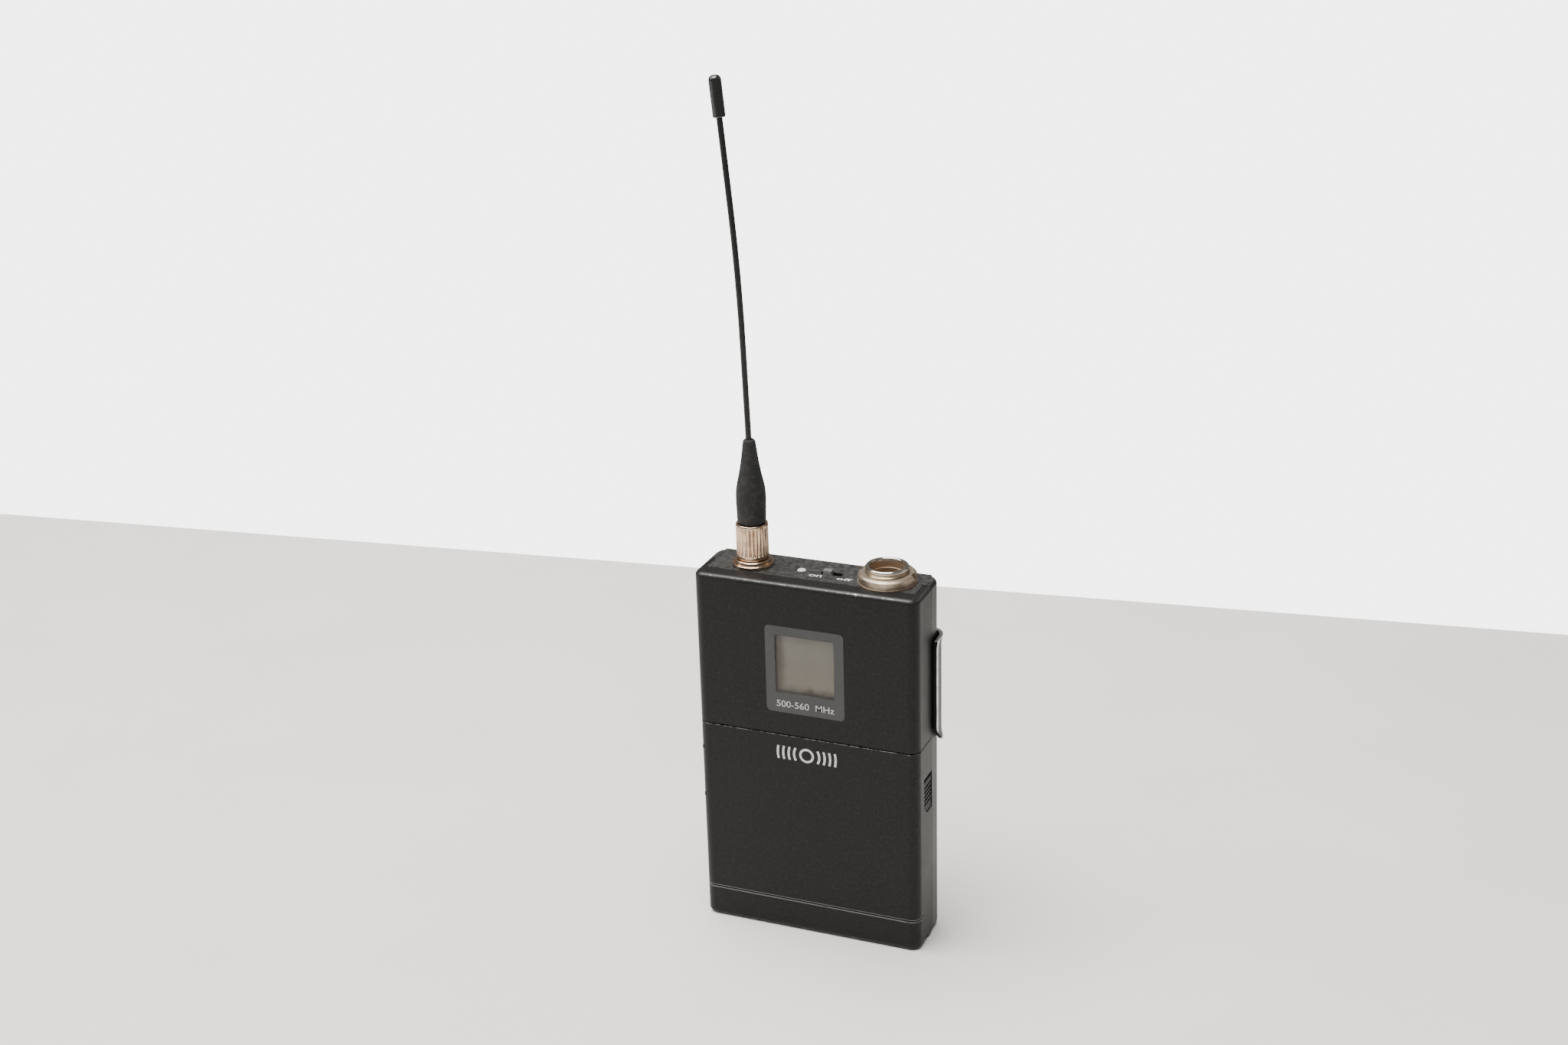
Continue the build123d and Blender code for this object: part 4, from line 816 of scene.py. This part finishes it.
MENU_UP = (35.5, 36.7)
panel_print = {"face": panel_face, "finish": panel_ink, "body": "case", "slot": "led_lens"}
lettering("mark_enter", "enter", BUTTON_WORD, ENTER_UP, weight=0.01, **panel_print)
lettering("mark_menu", "menu", BUTTON_WORD, MENU_UP, weight=0.01, **panel_print)


# ---- Hinge rod ----
# A straight rod of drawn steel that the door swings on. It is pressed into the lugs at the bottom of the
# chassis.
dress(screw_steel, "hinge_rod")


# ---- Battery door ----
# A casting that covers the bay and swings down on the rod. A shallow double line is scored across it near
# the bottom, its edges bare, and the paint is nicked all along its top edge. The printed mark is a plain
# ring with waves.
SCORED_LOW = (8.47, 8.66)
SCORED_HIGH = (9.14, 9.33)
door_paint = case_paint("door_paint", low=0.0, high=SPLIT + 0.9,
                        front=FRONT, rear=SEAM + 1.5, wear=0.06, gloss=0.14)
scored_low = door_paint.between(door_paint.z, *SCORED_LOW, 0.05)
scored_high = door_paint.between(door_paint.z, *SCORED_HIGH, 0.05)
scored = door_paint.larger(scored_low, scored_high)
scored = door_paint.times(scored, door_paint.fade(door_paint.y, -4.4, -4.8))
scored = door_paint.times(scored, door_paint.fade(door_paint.cloud(1.6, 4.0), 0.10, 0.40))
top_edge = door_paint.plus(door_paint.z, door_paint.times(door_paint.cloud(0.6, 4.0), 0.5))
rubbed_top = door_paint.fade(top_edge, SPLIT + 0.10, SPLIT + 0.20)
rubbed_top = door_paint.times(rubbed_top, door_paint.fade(door_paint.cloud(1.1, 4.0), 0.36, 0.62))
rubbed = door_paint.times(door_paint.larger(scored, rubbed_top), 0.36)
door_bare = door_paint.larger(door_paint.bare, rubbed)
door_paint.colour(door_paint.tint(door_bare, door_paint.black, BARE_METAL))
door_paint.metal(door_bare)
dress(door_paint, "battery_door")

MARK_Z = 52.55
MARK_HALF = 2.05
STROKE = 0.62
WAVES = (3.5, 5.0, 6.5, 8.0)


def flat_band(work, radius, start, end, parts):
    """A flat curved stroke about the mark's centre, standing proud of the door by the ink's film."""
    sides = []
    for step in range(parts + 1):
        turn = start + (end - start) * step / parts
        corners = []
        for r in (radius - STROKE / 2, radius + STROKE / 2):
            for depth in (FRONT, FRONT - FILM):
                x = r * cos(turn)
                z = MARK_Z + r * sin(turn)
                corners.append(work.verts.new((x / 1000, depth / 1000, z / 1000)))
        sides.append(corners)
    for a, b in zip(sides, sides[1:]):
        work.faces.new((a[1], b[1], b[3], a[3]))
        work.faces.new((a[0], a[2], b[2], b[0]))
        work.faces.new((a[0], b[0], b[1], a[1]))
        work.faces.new((a[2], a[3], b[3], b[2]))
    if abs(end - start) < 2 * pi - 0.01:
        work.faces.new((sides[0][0], sides[0][1], sides[0][3], sides[0][2]))
        work.faces.new((sides[-1][0], sides[-1][2], sides[-1][3], sides[-1][1]))


mark_work = bmesh.new()
flat_band(mark_work, MARK_HALF - STROKE / 2, 0.0, 2 * pi, parts=48)
for wave in WAVES:
    reach = asin((MARK_HALF - 0.1) / (wave + STROKE / 2))
    flat_band(mark_work, wave, -reach, reach, parts=10)
    flat_band(mark_work, wave, pi - reach, pi + reach, parts=10)
bmesh.ops.remove_doubles(mark_work, verts=mark_work.verts, dist=1e-7)
bmesh.ops.recalc_face_normals(mark_work, faces=mark_work.faces)
mark_mesh = bpy.data.meshes.new("ring_and_waves")
mark_work.to_mesh(mark_mesh)
mark_work.free()
new_piece("ring_and_waves", mark_mesh, white_ink, "door")


# ---- Release latches ----
# A black moulded thumb piece in each side of the door, ribbed for the thumb. It is pressed in against its
# own spring, and its arm reaches back past the seam, beside the chassis's side wall.
latch_plastic = black_moulding("latch_plastic", shade=0.003, rough=0.5, grain=0.5, soft=0.2)
latch_plastic.shader.inputs["Specular IOR Level"].default_value = 0.12
dress(latch_plastic, "latch_right", "latch_left")


# ---- Belt clip ----
# One strip of spring steel, bent round the case, folded over at the top and left as a tongue behind it.
# It is painted black, and the paint has gone along its edges.
CLIP_LOW = 55.8
CLIP_HIGH = 84.8
EAR_Y = SEAM + 1.2
EAR_INSET = 0.5
OUTER_FACE = (HALF_W + 1.05, HALF_W + 1.15)
INNER_FACE_GAP = 9.0
PAST_BOTH_EARS = 60.0
TONGUE_LOW = 22.0
TONGUE_HIGH = 200.0
TONGUE_HALF_W = 15.0


def clip_paint(name, low, high, half_width, wear):
    """Black paint on sheet steel, bare along the outer side of the sheet's edges."""
    paint = Finish(name, (0.010, 0.010, 0.010), 0.34)
    paint.shader.inputs["Specular IOR Level"].default_value = 0.16
    paint.soften(0.15)
    side_gap = paint.unsigned(paint.less(half_width, paint.unsigned(paint.x)))
    ear_gap = paint.less(paint.unsigned(paint.less(paint.y, EAR_Y)), EAR_INSET)
    outer_face = paint.fade(paint.unsigned(paint.x), *OUTER_FACE)
    ear_gap = paint.level(outer_face, INNER_FACE_GAP, ear_gap)
    side_gap = paint.smaller(side_gap, ear_gap)
    edge_gap = paint.smaller(side_gap, paint.inside(paint.z, low, high))
    where = paint.swing(paint.cloud(7.0, 3.0), 0.48, 1.6)
    ragged = paint.swing(paint.cloud(0.5, 4.0), 0.5, 0.9)
    reach = paint.plus(paint.plus(where, ragged), wear)
    bare = paint.fade(paint.less(reach, edge_gap), 0.0, 0.08)
    grime = paint.cloud(10.0, 4.0)
    black = paint.tint(grime, (0.005, 0.005, 0.005), (0.009, 0.009, 0.009))
    paint.colour(paint.tint(bare, black, BARE_METAL))
    paint.metal(bare)
    paint.rough(paint.level(bare, paint.level(grime, 0.26, 0.42), 0.3))
    paint.relief(paint.cloud(0.4, 2.0), 0.01)
    return paint


dress(clip_paint("saddle_paint", CLIP_LOW, CLIP_HIGH, PAST_BOTH_EARS, wear=0.2), "clip_saddle")
dress(clip_paint("tongue_paint", TONGUE_LOW, TONGUE_HIGH, TONGUE_HALF_W, wear=0.1), "clip_tongue")
